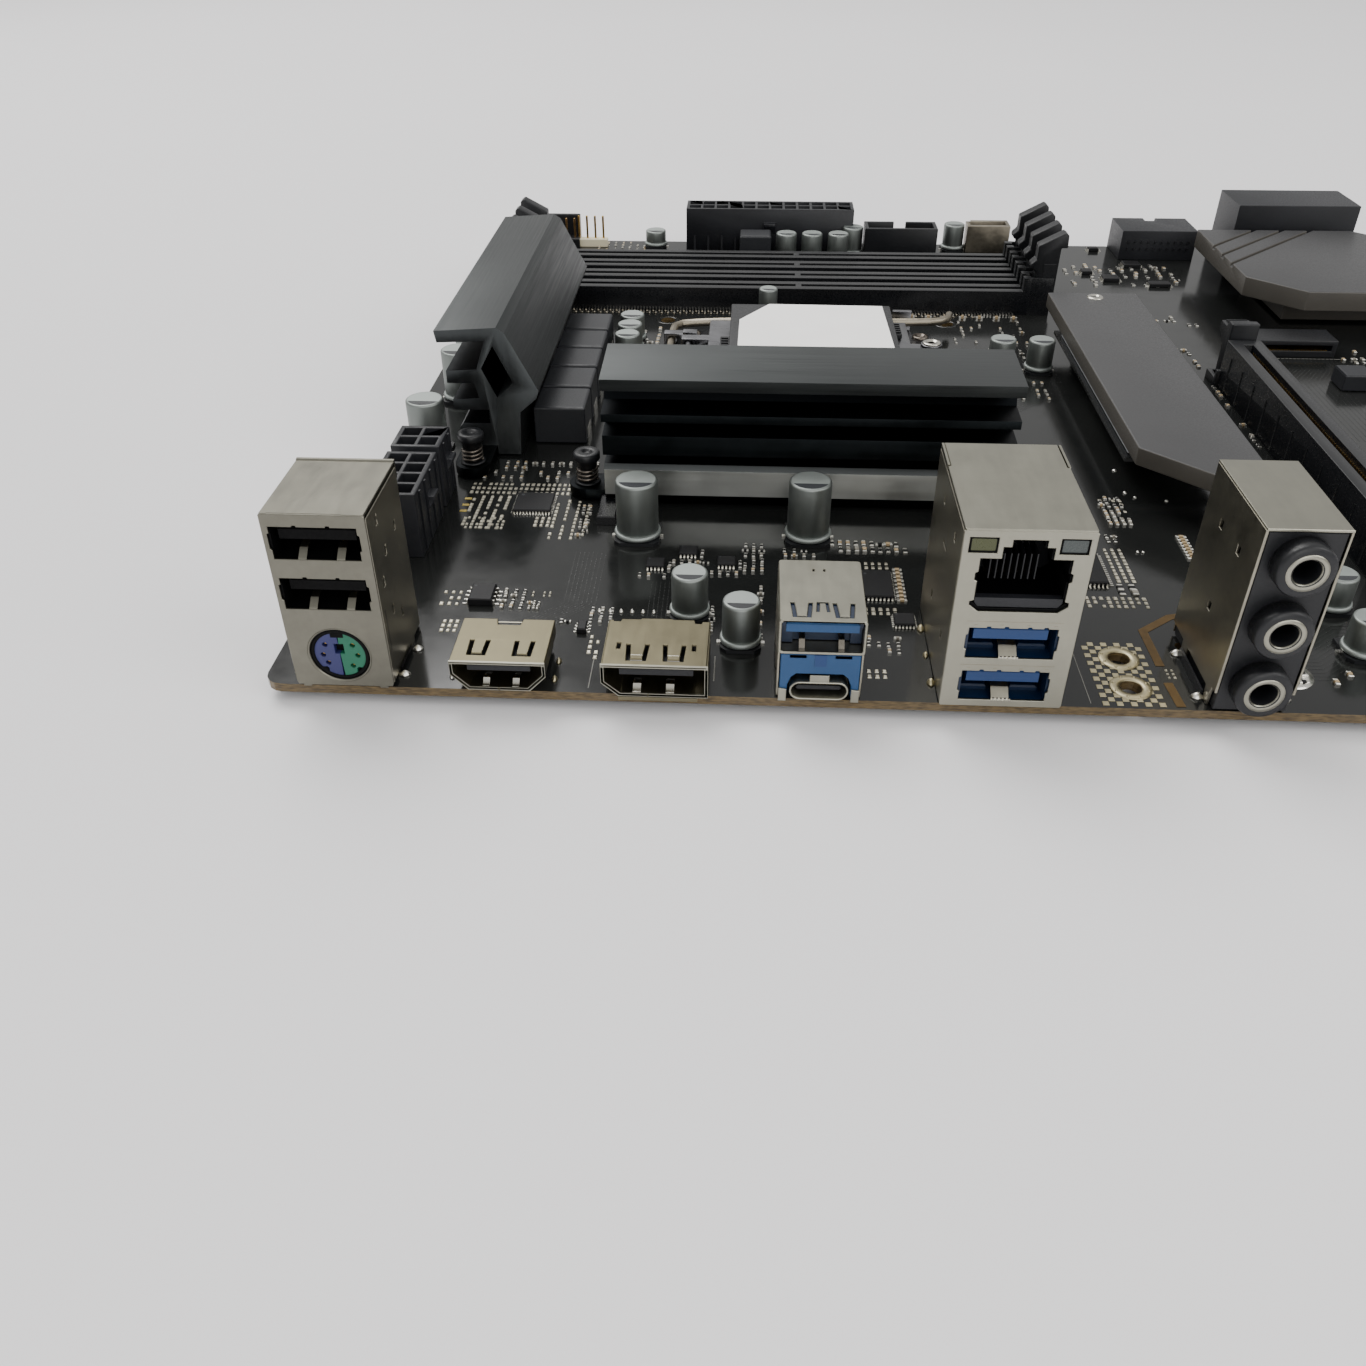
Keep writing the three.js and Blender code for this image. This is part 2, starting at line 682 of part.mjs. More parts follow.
// The plate that presses on the processor: two fingers hinge it, and a forked nose reaches the
// shoulder screw.
function loadPlate() {
  const { length, thick, plateZ, hingeX, hingeZ } = LOADER;
  const [nearX, farX, half, window] = [-25.4, 24.4, 20.4, 15.4];
  const nose = { half: 5.6, tip: length / 2 - 0.4, screwX: length / 2 - 3.4, notch: 3.1 };
  const z = [plateZ, plateZ + thick];
  const fingers = [-9.6, 6.4].map((y0) =>
    cut(
      block([hingeX - 1.7, nearX + 1], [y0, y0 + 3.2], [hingeZ - 1.6, plateZ + thick]),
      rodY(hingeX, hingeZ, 1.1, [y0 - 1, y0 + 5], 12),
    ),
  );
  return cut(
    join(
      block([nearX, farX], [-half, half], z),
      block([farX - 1, nose.tip], [-nose.half, nose.half], z),
      ...fingers,
    ),
    block([-window, window], [-window, window], [0, 9]),
    rodZ(nose.screwX, 0, nose.notch, [0, 9]),
    block([nose.screwX, nose.tip + 2], [-nose.notch, nose.notch], [0, 9]),
  );
}

// The dust cover clips into the load plate's window and lifts off when a processor goes in.
function socketCover() {
  const { plateZ, thick } = LOADER;
  const { length, width, top, rim } = COVER;
  const [halfL, halfW, plug] = [length / 2, width / 2, 15.4 - GAP];
  const seat = plateZ + thick;
  return cut(
    join(
      block([-halfL, halfL], [-halfW, halfW], [seat + 0.1, top]),
      block([-plug, plug], [-plug, plug], [plateZ + 0.4, top - rim]),
      block([-halfL - 2.4, -halfL + 1], [-5, 5], [seat + 0.1, seat + 1.4]),
      block([halfL - 1, halfL + 2.4], [8, 16], [seat + 0.1, seat + 1.4]),
    ),
    block([1.5 - plug, plug - 1.5], [1.5 - plug, plug - 1.5], [0, top - rim]),
  );
}

// The stiffener bolted under the board, with a window and two waists.
function socketBackplate() {
  const [half, arm] = [31, 9];
  const z = [-BOARD.thick - STAND_OFF, -BOARD.thick];
  const waists = [-half, half].map((x) => block([x - arm, x + arm], [-16, 16], [-6, 0]));
  return cut(
    block([-half, half], [-half, half], z),
    block([-13, 13], [-13, 13], [-6, 0]),
    ...waists,
  );
}

// The bent wire lever: a crank along Y beside the hinge, a long arm along X, and a curled grip.
function socketLever() {
  const { wire, pivotX, z, side, reach } = LEVER;
  const route = new THREE.CatmullRomCurve3(
    [
      [pivotX, -9, z],
      [pivotX, 4, z],
      [pivotX, side - 4, z],
      [pivotX + 0.7, side - 0.8, z],
      [pivotX + 4, side + 0.4, z],
      [pivotX + 12, side + 0.4, z + 0.5],
      [0, side + 0.4, z + 0.9],
      [reach - 8, side + 0.4, z + 1.1],
      [reach - 2, side + 1.4, z + 1.1],
      [reach + 0.6, side + 4.2, z + 1.1],
      [reach + 0.9, side + 6.4, z + 1.1],
    ].map((point) => new THREE.Vector3(...point)),
    false,
    "centripetal",
  );
  const section = new THREE.Shape(
    Array.from({ length: 8 }, (_, i) => {
      const angle = (i * Math.PI) / 4;
      return new THREE.Vector2(wire * Math.cos(angle), wire * Math.sin(angle));
    }),
  );
  return solid(new THREE.ExtrudeGeometry(section, { steps: 36, extrudePath: route }));
}

function socket() {
  const at = [SOCKET.x, SOCKET.y];
  return [
    socketBody(),
    piece("socket_frame", socketFrame(), FINISH.steel, at),
    piece("socket_load_plate", loadPlate(), FINISH.steel, at),
    piece("socket_cover", socketCover(), FINISH.blackPlastic, at),
    piece("socket_lever", socketLever(), FINISH.steel, at),
    piece("socket_backplate", socketBackplate(), FINISH.steel, at),
  ];
}

// ---------------------------------------------------------------- memory slots

// A slot lies along X with its middle on y = 0. Cheeks at both ends hold the latches.
function memorySlot() {
  const { x0, x1, width, height } = MEMORY;
  const { cheek, cheekHeight, width: latch } = MEMORY_LATCH;
  const half = width / 2;
  const groove = { half: 0.9, floor: 2, keyX: x0 + 0.53 * (x1 - x0) };
  const cheeks = [
    [x0 - 6.2, x0 + 1.2],
    [x1 - 1.2, x1 + 6.2],
  ].flatMap((x) =>
    [-1, 1].map((side) => {
      const inner = latch / 2 + GAP;
      const outer = inner + cheek;
      return block(x, side > 0 ? [inner, outer] : [-outer, -inner], [0, cheekHeight]);
    }),
  );
  const whole = join(
    block([x0, x1], [-half, half], [0, height]),
    ...[x0 - 0.4, x1 - 1.6].map((x) => block([x, x + 2], [-half, half], [0, cheekHeight])),
    ...cheeks,
  );
  const slit = block([x0 - 3, x1 + 3], [-groove.half, groove.half], [groove.floor, 20]);
  const key = block([groove.keyX, groove.keyX + 1.6], [-1.2, 1.2], [1, height]);
  return join(cut(whole, slit), key);
}

// A latch seen along Y, drawn for the high-X end: x is measured from the slot's end.
function memoryLatch() {
  const outline = [
    [1.2, 0.9],
    [5.8, 0.9],
    [7, 3],
    [7.1, 17.6],
    [8.8, 17.6],
    [8.6, 20.9],
    [7.6, 21.6],
    [1.1, 18.2],
    [1.1, 14.6],
    [-0.2, 13.4],
    [-0.2, 12.4],
    [1.2, 11.4],
  ];
  const half = MEMORY_LATCH.width / 2;
  return prismY(outline, [-half, half]);
}

function memorySlots() {
  const { x0, x1, y, pitch, count } = MEMORY;
  const slot = memorySlot();
  const latch = memoryLatch();
  const pieces = [];
  for (let i = 0; i < count; i++) {
    const rowY = y + i * pitch;
    pieces.push(
      piece(`memory_slot_${i + 1}`, slot, FINISH.blackPlastic, [0, rowY]),
      piece(`memory_latch_${i + 1}_high`, latch, FINISH.greyPlastic, [x1, rowY]),
      piece(`memory_latch_${i + 1}_low`, latch.mirror([1, 0, 0]), FINISH.greyPlastic, [x0, rowY]),
    );
  }
  return pieces;
}

// ---------------------------------------------------------------- headers on the far edge

function edgeHeaders() {
  const up = USB3_UP;
  const flat = USB3_FLAT;
  const typeC = USB_C_UP;
  const rim = 1.1;
  const upright = cut(
    block([0, up.width], [0, up.depth], [0, up.height]),
    block([rim, up.width - rim], [rim, up.depth - rim], [1.2, up.height + 1]),
    block([up.width / 2 - 1.8, up.width / 2 + 1.8], [up.depth - 2, up.depth + 1], [6, 10]),
  );
  const lying = cut(
    block([0, flat.width], [0, flat.depth], [0, flat.height]),
    block([rim, flat.width - rim], [5, flat.depth + 1], [rim, flat.height - rim]),
    block([flat.width / 2 - 1.8, flat.width / 2 + 1.8], [flat.depth - 3, flat.depth + 1], [6, 10]),
  );
  const shield = cut(
    block([0, typeC.width], [0, typeC.depth], [0, typeC.height]),
    block([1, typeC.width - 1], [1.6, typeC.depth - 1.6], [2, typeC.height + 1]),
    block([-1, 1.6], [typeC.depth - 1.4, typeC.depth + 1], [-1, 10]),
  );
  const flatPegs = [
    [2, 2.4],
    [flat.width - 2, 2.4],
  ];
  return [
    piece("usb3_header_upright", upright, FINISH.blackPlastic, up.at),
    piece("usb3_header_angled", withPegs(lying, flat.at, flatPegs), FINISH.greyPlastic, flat.at),
    piece("usb_c_header", shield, FINISH.steel, typeC.at),
  ];
}

function sataPorts() {
  const { at, port, depth, height, columns, rows } = SATA;
  const [width, tall] = [columns * port + 1, rows * height];
  const mouths = [];
  for (let column = 0; column < columns; column++)
    for (let row = 0; row < rows; row++) {
      const [x, z] = [column * port + 2.6, row * height + 2];
      const hollow = block([x, x + 12.8], [depth - 7.6, depth + 1], [z, z + 4.4]);
      const tongue = block([x + 1.2, x + 11.6], [depth - 8, depth - 1], [z + 1.8, z + 3]);
      const guide = block([x + 5.2, x + 7.6], [depth - 4, depth + 1], [z + 4, z + 5.8]);
      mouths.push(join(hollow.subtract(tongue), guide));
    }
  const pegs = [
    [3, 4],
    [width - 3, 4],
  ];
  const body = cut(block([0, width], [0, depth], [0, tall]), ...mouths);
  return [piece("sata_ports", withPegs(body, at, pegs), FINISH.blackPlastic, at)];
}

// ---------------------------------------------------------------- expansion slots

function pcieSlots() {
  const { width, height, length, y, slotX, pitch } = PCIE;
  const half = width / 2;
  const body = cut(
    join(
      block([-half, half], [0, length], [0, height]),
      block([-half - 0.8, half + 0.8], [length - 1, length + 6], [0, 4]),
    ),
    block([-1.1, 1.1], [2.4, length - 3], [3, height + 1]),
    block([-half - 2, half + 2], [length + GAP, length + 7], [2, 9]),
    block([-PCIE_LATCH.width / 2 - GAP, PCIE_LATCH.width / 2 + GAP], [length, length + 5], [1, 9]),
  );
  const key = block([-1.4, 1.4], [13.6, 15.2], [2, height]);
  const latch = prismX(
    [
      [0.8, 1.9],
      [4.4, 1.9],
      [4.6, 8],
      [8.6, 11.4],
      [8.2, 13.2],
      [4.4, 13.2],
      [3.2, 14.6],
      [0.8, 14.6],
    ],
    [-PCIE_LATCH.width / 2, PCIE_LATCH.width / 2],
  );
  return [0, 3].flatMap((position, i) => {
    const at = [slotX + position * pitch, y];
    const pegs = [
      [0, 1.2],
      [0, length - 1.4],
    ];
    const slot = withPegs(join(body, key), at, pegs);
    return [
      piece(`pcie_x16_slot_${i + 1}`, slot, FINISH.blackPlastic, at),
      piece(`pcie_x16_latch_${i + 1}`, latch, FINISH.greyPlastic, [at[0], at[1] + length]),
    ];
  });
}

// ---------------------------------------------------------------- M.2, chipset and battery

function m2Parts() {
  const { x0, x1, y1, top, thick, nearY } = M2_SINK;
  const width = x1 - x0;
  const nearTip = nearY - width; // the near end is cut at 45 degrees
  const under = top - thick;
  const slab = prismZ(
    [
      [x0, nearY],
      [x1, nearTip],
      [x1, y1],
      [x0, y1],
    ],
    [under, top],
  );
  const posts = [
    [(x0 + x1) / 2, y1 - 3.6],
    [x1 - 4, nearTip + 12],
  ].map(([x, y]) => rodZ(x, y, 2.8, [0, under + 1], 14));
  const { at, width: socketWidth, depth, height } = M2_SOCKET;
  const socket = cut(
    block([0, socketWidth], [0, depth], [0, height]),
    block([1.2, socketWidth - 1.2], [-1, 5.6], [1.6, 3]),
  );
  return [
    piece("m2_heatsink", join(slab, ...posts), FINISH.heatsink),
    piece("m2_socket", socket, FINISH.blackPlastic, at),
  ];
}

function chipsetHeatsink() {
  const { x0, x1, y0, y1, top, foot } = CHIPSET;
  const nick = 12;
  const plate = prismZ(
    [
      [x0 + nick, y0],
      [x1, y0],
      [x1, y1 - nick],
      [x1 - nick, y1],
      [x0, y1],
      [x0, y0 + nick],
    ],
    [top - 5, top],
  );
  const [middleX, middleY] = [(x0 + x1) / 2, (y0 + y1) / 2];
  const stem = block([middleX - 16, middleX + 16], [middleY - 16, middleY + 16], [foot, top - 4]);
  const grooves = [0, 1, 2].map((i) =>
    prismZ(
      [
        [x0 - 1, y1 - 34 + i * 8],
        [x0 - 1, y1 - 32.6 + i * 8],
        [x0 + 36 - i * 8, y1 + 4.4],
        [x0 + 36 - i * 8, y1 + 3],
      ],
      [top - 1, top + 1],
    ),
  );
  return piece("chipset_heatsink", cut(join(plate, stem), ...grooves), FINISH.heatsink);
}

function batteryParts() {
  const { x, y, radius, thick, floor } = BATTERY;
  const rim = floor + 2.6;
  const seat = radius + GAP + 0.1;
  const holder = cut(
    join(rodZ(0, 0, seat + 1.4, [0, rim], 32), block([-5, 5], [8, 15], [0, rim])),
    rodZ(0, 0, seat, [floor, rim + 1], 32),
    block([-20, 20], [-20, -6], [floor, rim + 1]),
  );
  const cell = turned(
    [
      [0, 0],
      [radius - 1.6, 0],
      [radius - 1.2, 0.5],
      [radius - 0.3, 0.5],
      [radius, 1],
      [radius, thick - 0.2],
      [radius - 0.2, thick],
      [0, thick],
    ],
    32,
  );
  return [
    piece("battery_holder", holder, FINISH.blackPlastic, [x, y]),
    piece("coin_battery", cell, FINISH.cell, [x, y, floor + 0.05]),
  ];
}

// ---------------------------------------------------------------- the bare board

function circuitBoard() {
  const { length, depth, thick, corner } = BOARD;
  const outline = new THREE.Shape();
  outline.absarc(length - corner, corner, corner, -Math.PI / 2, 0);
  outline.absarc(length - corner, depth - corner, corner, 0, Math.PI / 2);
  outline.absarc(corner, depth - corner, corner, Math.PI / 2, Math.PI);
  outline.absarc(corner, corner, corner, Math.PI, (3 * Math.PI) / 2);
  const through = [-thick - 1, 1];
  const hole = (x, y, radius, sides) => rodZ(x, y, radius, through, sides);
  const atx = ATX_HOLES.x.flatMap((x, i) =>
    [ATX_HOLES.y[i], ...ATX_HOLES.rows].map((y) => hole(x, y, ATX_HOLES.radius, 12)),
  );
  const half = COOLER_PITCH / 2;
  const cooler = [-half, half].flatMap((dx) =>
    [-half, half].map((dy) => hole(SOCKET.x + dx, SOCKET.y + dy, 2, 12)),
  );
  const antenna = [5.4, 13.4].map((y) => hole(138, y, 1.7, 12));
  const pins = [...SIDE_PINS, ...REAR_PINS].map(([x, y]) => hole(x, y, 1.5, 10));
  const pegs = pegHoles.map(([x, y]) => hole(x, y, PEG.radius + PEG.gap, 8));
  const sheet = prismZ(outline, [-thick, 0], 2);
  return piece(
    "circuit_board",
    cut(sheet, ...atx, ...cooler, ...antenna, ...pins, ...pegs),
    FINISH.board,
  );
}

// ---------------------------------------------------------------- assembly

const board = new THREE.Group();
board.position.set(-BOARD.length / 2, -BOARD.depth / 2, BOARD.thick);
board.add(
  ...ps2UsbStack(),
  ...hdmiPort(),
  ...displayPort(),
  ...usbAOverC(),
  ...lanUsbStack(),
  ...audioJacks(),
  ...powerConnectors(),
  ...heatsinks(),
  ...chokes(),
  ...capacitors(),
  ...socket(),
  ...memorySlots(),
  ...edgeHeaders(),
  ...sataPorts(),
  ...pcieSlots(),
  ...m2Parts(),
  chipsetHeatsink(),
  ...batteryParts(),
  circuitBoard(), // last, because the pieces above note the holes that their pegs need
);

const motherboard = new THREE.Group();
motherboard.add(board);
export default motherboard;
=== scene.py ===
import math
import random

import bmesh
import bpy
from mathutils import Matrix, Vector


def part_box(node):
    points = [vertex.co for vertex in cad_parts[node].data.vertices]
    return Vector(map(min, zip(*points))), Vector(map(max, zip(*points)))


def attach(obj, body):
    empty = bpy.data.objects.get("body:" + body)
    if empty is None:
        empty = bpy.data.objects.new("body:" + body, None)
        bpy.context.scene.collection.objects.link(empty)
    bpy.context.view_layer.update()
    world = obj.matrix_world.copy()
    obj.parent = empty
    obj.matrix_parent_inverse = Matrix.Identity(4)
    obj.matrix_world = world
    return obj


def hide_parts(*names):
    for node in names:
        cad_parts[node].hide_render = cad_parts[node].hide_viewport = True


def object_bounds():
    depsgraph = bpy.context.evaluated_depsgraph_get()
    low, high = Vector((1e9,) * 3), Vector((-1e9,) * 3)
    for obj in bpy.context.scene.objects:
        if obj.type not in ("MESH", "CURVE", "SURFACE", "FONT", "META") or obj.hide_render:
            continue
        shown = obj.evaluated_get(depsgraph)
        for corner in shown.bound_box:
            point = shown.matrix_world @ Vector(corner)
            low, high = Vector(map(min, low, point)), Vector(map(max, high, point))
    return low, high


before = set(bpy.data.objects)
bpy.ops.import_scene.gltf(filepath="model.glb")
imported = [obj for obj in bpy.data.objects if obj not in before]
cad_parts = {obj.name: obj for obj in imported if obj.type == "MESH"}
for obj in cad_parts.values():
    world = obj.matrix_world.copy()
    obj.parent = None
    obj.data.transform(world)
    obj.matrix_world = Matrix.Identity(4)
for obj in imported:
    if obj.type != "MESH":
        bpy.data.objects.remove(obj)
CAD_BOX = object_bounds()

MM = 0.001
_low, _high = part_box("circuit_board")
ORIGIN = Vector((_low.x, _low.y, _high.z))  # the board's port-edge corner, on its top face
BELOW = (_low.z - _high.z) / MM  # the board's underside


def at(x, y, z=0.0):
    """A point given in millimetres from the board's corner, in metres in the part's frame."""
    return ORIGIN + Vector((x, y, z)) * MM


def span(node):
    """A CAD node's low and high corners, in millimetres from the board's corner."""
    low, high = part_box(node)
    return (low - ORIGIN) / MM, (high - ORIGIN) / MM


def shell(node):
    """A standing node's low and high corners, its width, its depth and its height."""
    low, high = span(node)
    return low, high, high.x - low.x, high.y - low.y, high.z


def middle(node):
    """A CAD node's middle in plan, and its low and high corners."""
    low, high = span(node)
    return (low.x + high.x) / 2, (low.y + high.y) / 2, low, high


# ---------------------------------------------------------------- materials

MATS = {}


def rgba(color):
    return tuple(color) + (1.0,) * (4 - len(color))


def hexa(code):
    """A colour written as six hex digits, as linear light."""
    parts = [int(code[i:i + 2], 16) / 255 for i in (0, 2, 4)]
    return tuple(p / 12.92 if p <= 0.04045 else ((p + 0.055) / 1.055) ** 2.4 for p in parts)


class Nodes:
    """A material's node tree, with short calls for the nodes used here."""

    def __init__(self, name):
        self.mat = bpy.data.materials.new(name)
        self.mat.use_nodes = True
        self.tree = self.mat.node_tree
        self.bsdf = self.tree.nodes["Principled BSDF"]
        self.coord = self.tree.nodes.new("ShaderNodeTexCoord").outputs["Object"]
        MATS[name] = self.mat

    def feed(self, socket, value):
        """Sets an input, or links another node's output to it."""
        if isinstance(value, bpy.types.NodeSocket):
            self.tree.links.new(value, socket)
        else:
            socket.default_value = rgba(value) if hasattr(value, "__len__") else value

    def fill(self, node, inputs):
        """Feeds a node's inputs by name, written with an underscore for each space."""
        for key, value in inputs.items():
            self.feed(node.inputs[key.replace("_", " ")], value)
        return node

    def add(self, kind, **inputs):
        return self.fill(self.tree.nodes.new(kind), inputs)

    def set(self, **inputs):
        self.fill(self.bsdf, inputs)

    def scaled(self, scale):
        node = self.add("ShaderNodeMapping", Vector=self.coord)
        node.inputs["Scale"].default_value = scale
        return node.outputs["Vector"]

    def noise(self, scale, detail=3.0, vector=None, rough=0.5):
        node = self.add("ShaderNodeTexNoise", Vector=vector or self.coord, Scale=scale,
                        Detail=detail, Roughness=rough)
        return node.outputs["Fac"]

    def wave(self, scale, direction):
        node = self.add("ShaderNodeTexWave", Vector=self.coord, Scale=scale, Distortion=0.6)
        node.bands_direction = direction
        return node.outputs["Fac"]

    def ramp(self, fac, *stops):
        node = self.add("ShaderNodeValToRGB", Fac=fac)
        for element, (place, color) in zip(node.color_ramp.elements, stops):
            element.position = place
            element.color = rgba(color)
        return node.outputs["Color"]

    def mix(self, fac, a, b):
        node = self.tree.nodes.new("ShaderNodeMix")
        node.data_type = "RGBA"
        for index, value in ((0, fac), (6, a), (7, b)):  # the factor and the two colours
            self.feed(node.inputs[index], value)
        return node.outputs[2]

    def math(self, operation, a, b=0.0):
        node = self.tree.nodes.new("ShaderNodeMath")
        node.operation = operation
        for socket, value in zip(node.inputs, (a, b)):
            self.feed(socket, value)
        return node.outputs[0]

    def remap(self, fac, low, high, from_low=0.0, from_high=1.0):
        node = self.add("ShaderNodeMapRange", Value=fac, From_Min=from_low, From_Max=from_high,
                        To_Min=low, To_Max=high)
        return node.outputs["Result"]

    def bump(self, height, strength, distance):
        node = self.add("ShaderNodeBump", Height=height, Strength=strength, Distance=distance)
        self.feed(self.bsdf.inputs["Normal"], node.outputs["Normal"])

    def up(self):
        """The size of the normal's z: 1 on a level face, 0 on an upright one."""
        geometry = self.tree.nodes.new("ShaderNodeNewGeometry")
        split = self.add("ShaderNodeSeparateXYZ", Vector=geometry.outputs["True Normal"])
        return self.math("ABSOLUTE", split.outputs["Z"])


def plastic(name, code, rough=0.45, grain=0.25, spread=0.25, specular=0.5, grain_size=2500):
    """Moulded plastic: fine grain, slight tone variation and uneven gloss."""
    n = Nodes(name)
    base = hexa(code)
    dark = tuple(c * (1 - spread) for c in base)
    light = tuple(min(1, c * (1 + spread)) for c in base)
    broad = n.noise(90, 4)
    fine = n.noise(grain_size, 2)
    n.set(Base_Color=n.ramp(broad, (0.3, dark), (0.7, light)),
          Roughness=n.remap(fine, rough - 0.07, rough + 0.1, 0.3, 0.7),
          Specular_IOR_Level=specular)
    n.bump(fine, grain, 0.00004)
    return n.mat


def metal(name, code, rough=0.3, streaks=(1, 1, 1), stain=0.12, fleck=0.15, smudge=0.1):
    """Plated or brushed sheet: drawn streaks, faint staining and smudged gloss."""
    n = Nodes(name)
    base = hexa(code)
    dark = tuple(c * (1 - stain * 1.6) for c in base)
    light = tuple(min(1, c * (1 + stain)) for c in base)
    cloud = n.noise(170, 5, rough=0.62)
    brushed = n.noise(900, 3, n.scaled(streaks))
    tone = n.mix(0.35, n.ramp(cloud, (0.28, dark), (0.72, light)),
                 n.ramp(brushed, (0.3, dark), (0.7, light)))
    n.set(Base_Color=tone, Metallic=1.0,
          Roughness=n.remap(n.math("ADD", n.math("MULTIPLY", cloud, 0.6),
                                   n.math("MULTIPLY", brushed, 0.4)),
                            rough - smudge, rough + smudge, 0.3, 0.7))
    n.bump(brushed, fleck, 0.00003)
    return n.mat



def make_materials():
    metal("nickel", "9b998c", 0.33, (1, 0.15, 1), stain=0.05, fleck=0.08, smudge=0.04)
    metal("nickel_dull", "757369", 0.34, (1, 0.15, 1), stain=0.09, fleck=0.08, smudge=0.05)
    metal("nickel_warm", "746e59", 0.34, (1, 0.15, 1), stain=0.1, fleck=0.12, smudge=0.06)
    metal("nickel_side", "9a9688", 0.34, (0.15, 1, 1), stain=0.1, fleck=0.12, smudge=0.06)
    metal("tin", "dcdad2", 0.3, stain=0.12, fleck=0.3, smudge=0.12)
    metal("steel", "c2bfb5", 0.22, (0.1, 1, 1), stain=0.06, fleck=0.1, smudge=0.06)
    metal("spring_steel", "78736a", 0.3, stain=0.1)
    metal("gold", "c9a45c", 0.3, stain=0.15, fleck=0.2)
    metal("brass", "a9865a", 0.32, stain=0.25, fleck=0.3)
    metal("can", "868b88", 0.5, (1, 1, 0.1), stain=0.06, fleck=0.12, smudge=0.05)
    metal("can_top", "9da3a0", 0.6, stain=0.04, fleck=0.1, smudge=0.05)
    metal("loader_steel", "77777a", 0.3, (0.3, 1, 1), stain=0.1, fleck=0.15)
    metal("bronze", "6d665f", 0.34, stain=0.3, fleck=0.25)
    metal("bronze_shield", "8f887a", 0.4, (1, 0.3, 1), stain=0.2, fleck=0.3)
    metal("cell_steel", "cfcdc6", 0.26, (0.2, 1, 1), stain=0.05, fleck=0.1)
    metal("tin_warm", "b7ae8f", 0.42, stain=0.12, fleck=0.4)
    metal("copper", "66543a", 0.5, stain=0.2, fleck=0.3)
    metal("gold_pad", "c8b268", 0.4, stain=0.1, fleck=0.2)
    metal("pad_solder", "cfcab9", 0.36, stain=0.15, fleck=0.4)
    # The network jack's contact wires, darkened as painted shade for the depth of the jack.
    metal("wire_shade", "1d1914", 0.4, stain=0.2)
    plastic("black", "141518", 0.4, 0.25, specular=0.4)
    # A near-black with little gloss, put inside mouths and sockets and in dark gaps as painted shade.
    plastic("painted_shade_black", "040405", 0.6, 0.1, specular=0.12)
    plastic("black_gloss", "0b0c0f", 0.25, 0.1, specular=0.6)
    plastic("charcoal", "1b1c20", 0.45, 0.35, specular=0.4)
    plastic("slot_black", "17181a", 0.36, 0.2, specular=0.45)
    # The slots' black again, darker, for their upright sides and ribs: painted shade.
    plastic("slot_shade", "0d0e11", 0.3, 0.15, specular=0.4)
    plastic("latch_black", "121316", 0.42, 0.3, specular=0.4)
    plastic("chip_black", "101012", 0.45, 0.5, specular=0.25, grain_size=6000)
    plastic("choke", "15171c", 0.5, 0.5, spread=0.16, grain_size=4000)
    plastic("blue_light", "11406c", 0.4, 0.15, spread=0.1)
    # The insulators' blue, darkened where it lines the inside of the mouths: painted shade.
    plastic("blue_shade", "041c38", 0.4, 0.15, spread=0.1)
    plastic("blue_tongue", "0b3264", 0.4, 0.15, spread=0.1)
    plastic("violet", "25295c", 0.45, 0.15, spread=0.1)
    plastic("green", "116148", 0.45, 0.15, spread=0.1)
    plastic("cream", "ddd5b8", 0.5, 0.15, spread=0.08)
    plastic("lamp_olive", "3f4323", 0.3, 0.1, spread=0.15)
    plastic("lamp_clear", "3e4443", 0.25, 0.1, spread=0.1)
    plastic("silk", "74736e", 0.6, 0.1, spread=0.1)
    plastic("paper", "f6f5f3", 0.75, 0.3, spread=0.02, specular=0.2)
    plastic("ceramic_tan", "a08c6c", 0.5, 0.2)
    plastic("ceramic_grey", "77736a", 0.5, 0.2)
    plastic("can_mark", "26282c", 0.45, 0.1)
    plastic("thermal_pad", "b9bbc0", 0.7, 0.3, spread=0.06, specular=0.3)

    # Solder mask: nearly black, with a faint weave and a broad drift of tone. The board's sawn
    # edge shows its bare laminate.
    n = Nodes("mask")
    weave = n.math("MULTIPLY", n.wave(900.0, "X"), n.wave(900.0, "Y"))
    face = n.ramp(n.noise(26, 5, rough=0.6), (0.3, hexa("151616")), (0.7, hexa("1e1f1e")))
    edge_noise = n.noise(700, 4, n.scaled((1, 1, 6)))
    edge = n.ramp(edge_noise, (0.3, hexa("3a3021")), (0.7, hexa("6b5a3c")))
    n.set(Base_Color=n.mix(n.remap(n.up(), 0, 1, 0.4, 0.7), edge, face),
          Roughness=n.remap(n.noise(300, 3), 0.11, 0.17, 0.3, 0.7), Specular_IOR_Level=0.38)
    n.bump(weave, 0.06, 0.00001)
    plastic("mask_trace", "1c1d1c", 0.2, 0.05, spread=0.12)

    # Anodised extrusion: dark grey with long fine drawn lines. The two sinks share one finish; the
    # first copy below, the side sink's, is darker as painted shade.
    for name, stretch, dark, light in (("anodised_y_shaded", (1, 0.02, 1), "212425", "3e4141"),
                                       ("anodised_x", (0.02, 1, 1), "272a2b", "494c4c")):
        n = Nodes(name)
        lines = n.noise(1600, 3, n.scaled(stretch), rough=0.7)
        broad = n.noise(40, 3)
        tone = n.mix(0.6, n.ramp(lines, (0.25, hexa(dark)), (0.75, hexa(light))),
                     n.mix(n.remap(broad, 0.3, 0.7, 0.3, 0.7), hexa(dark), hexa(light)))
        n.set(Base_Color=tone, Metallic=0.75,
              Roughness=n.remap(lines, 0.36, 0.52, 0.3, 0.7))
        n.bump(lines, 0.25, 0.00003)
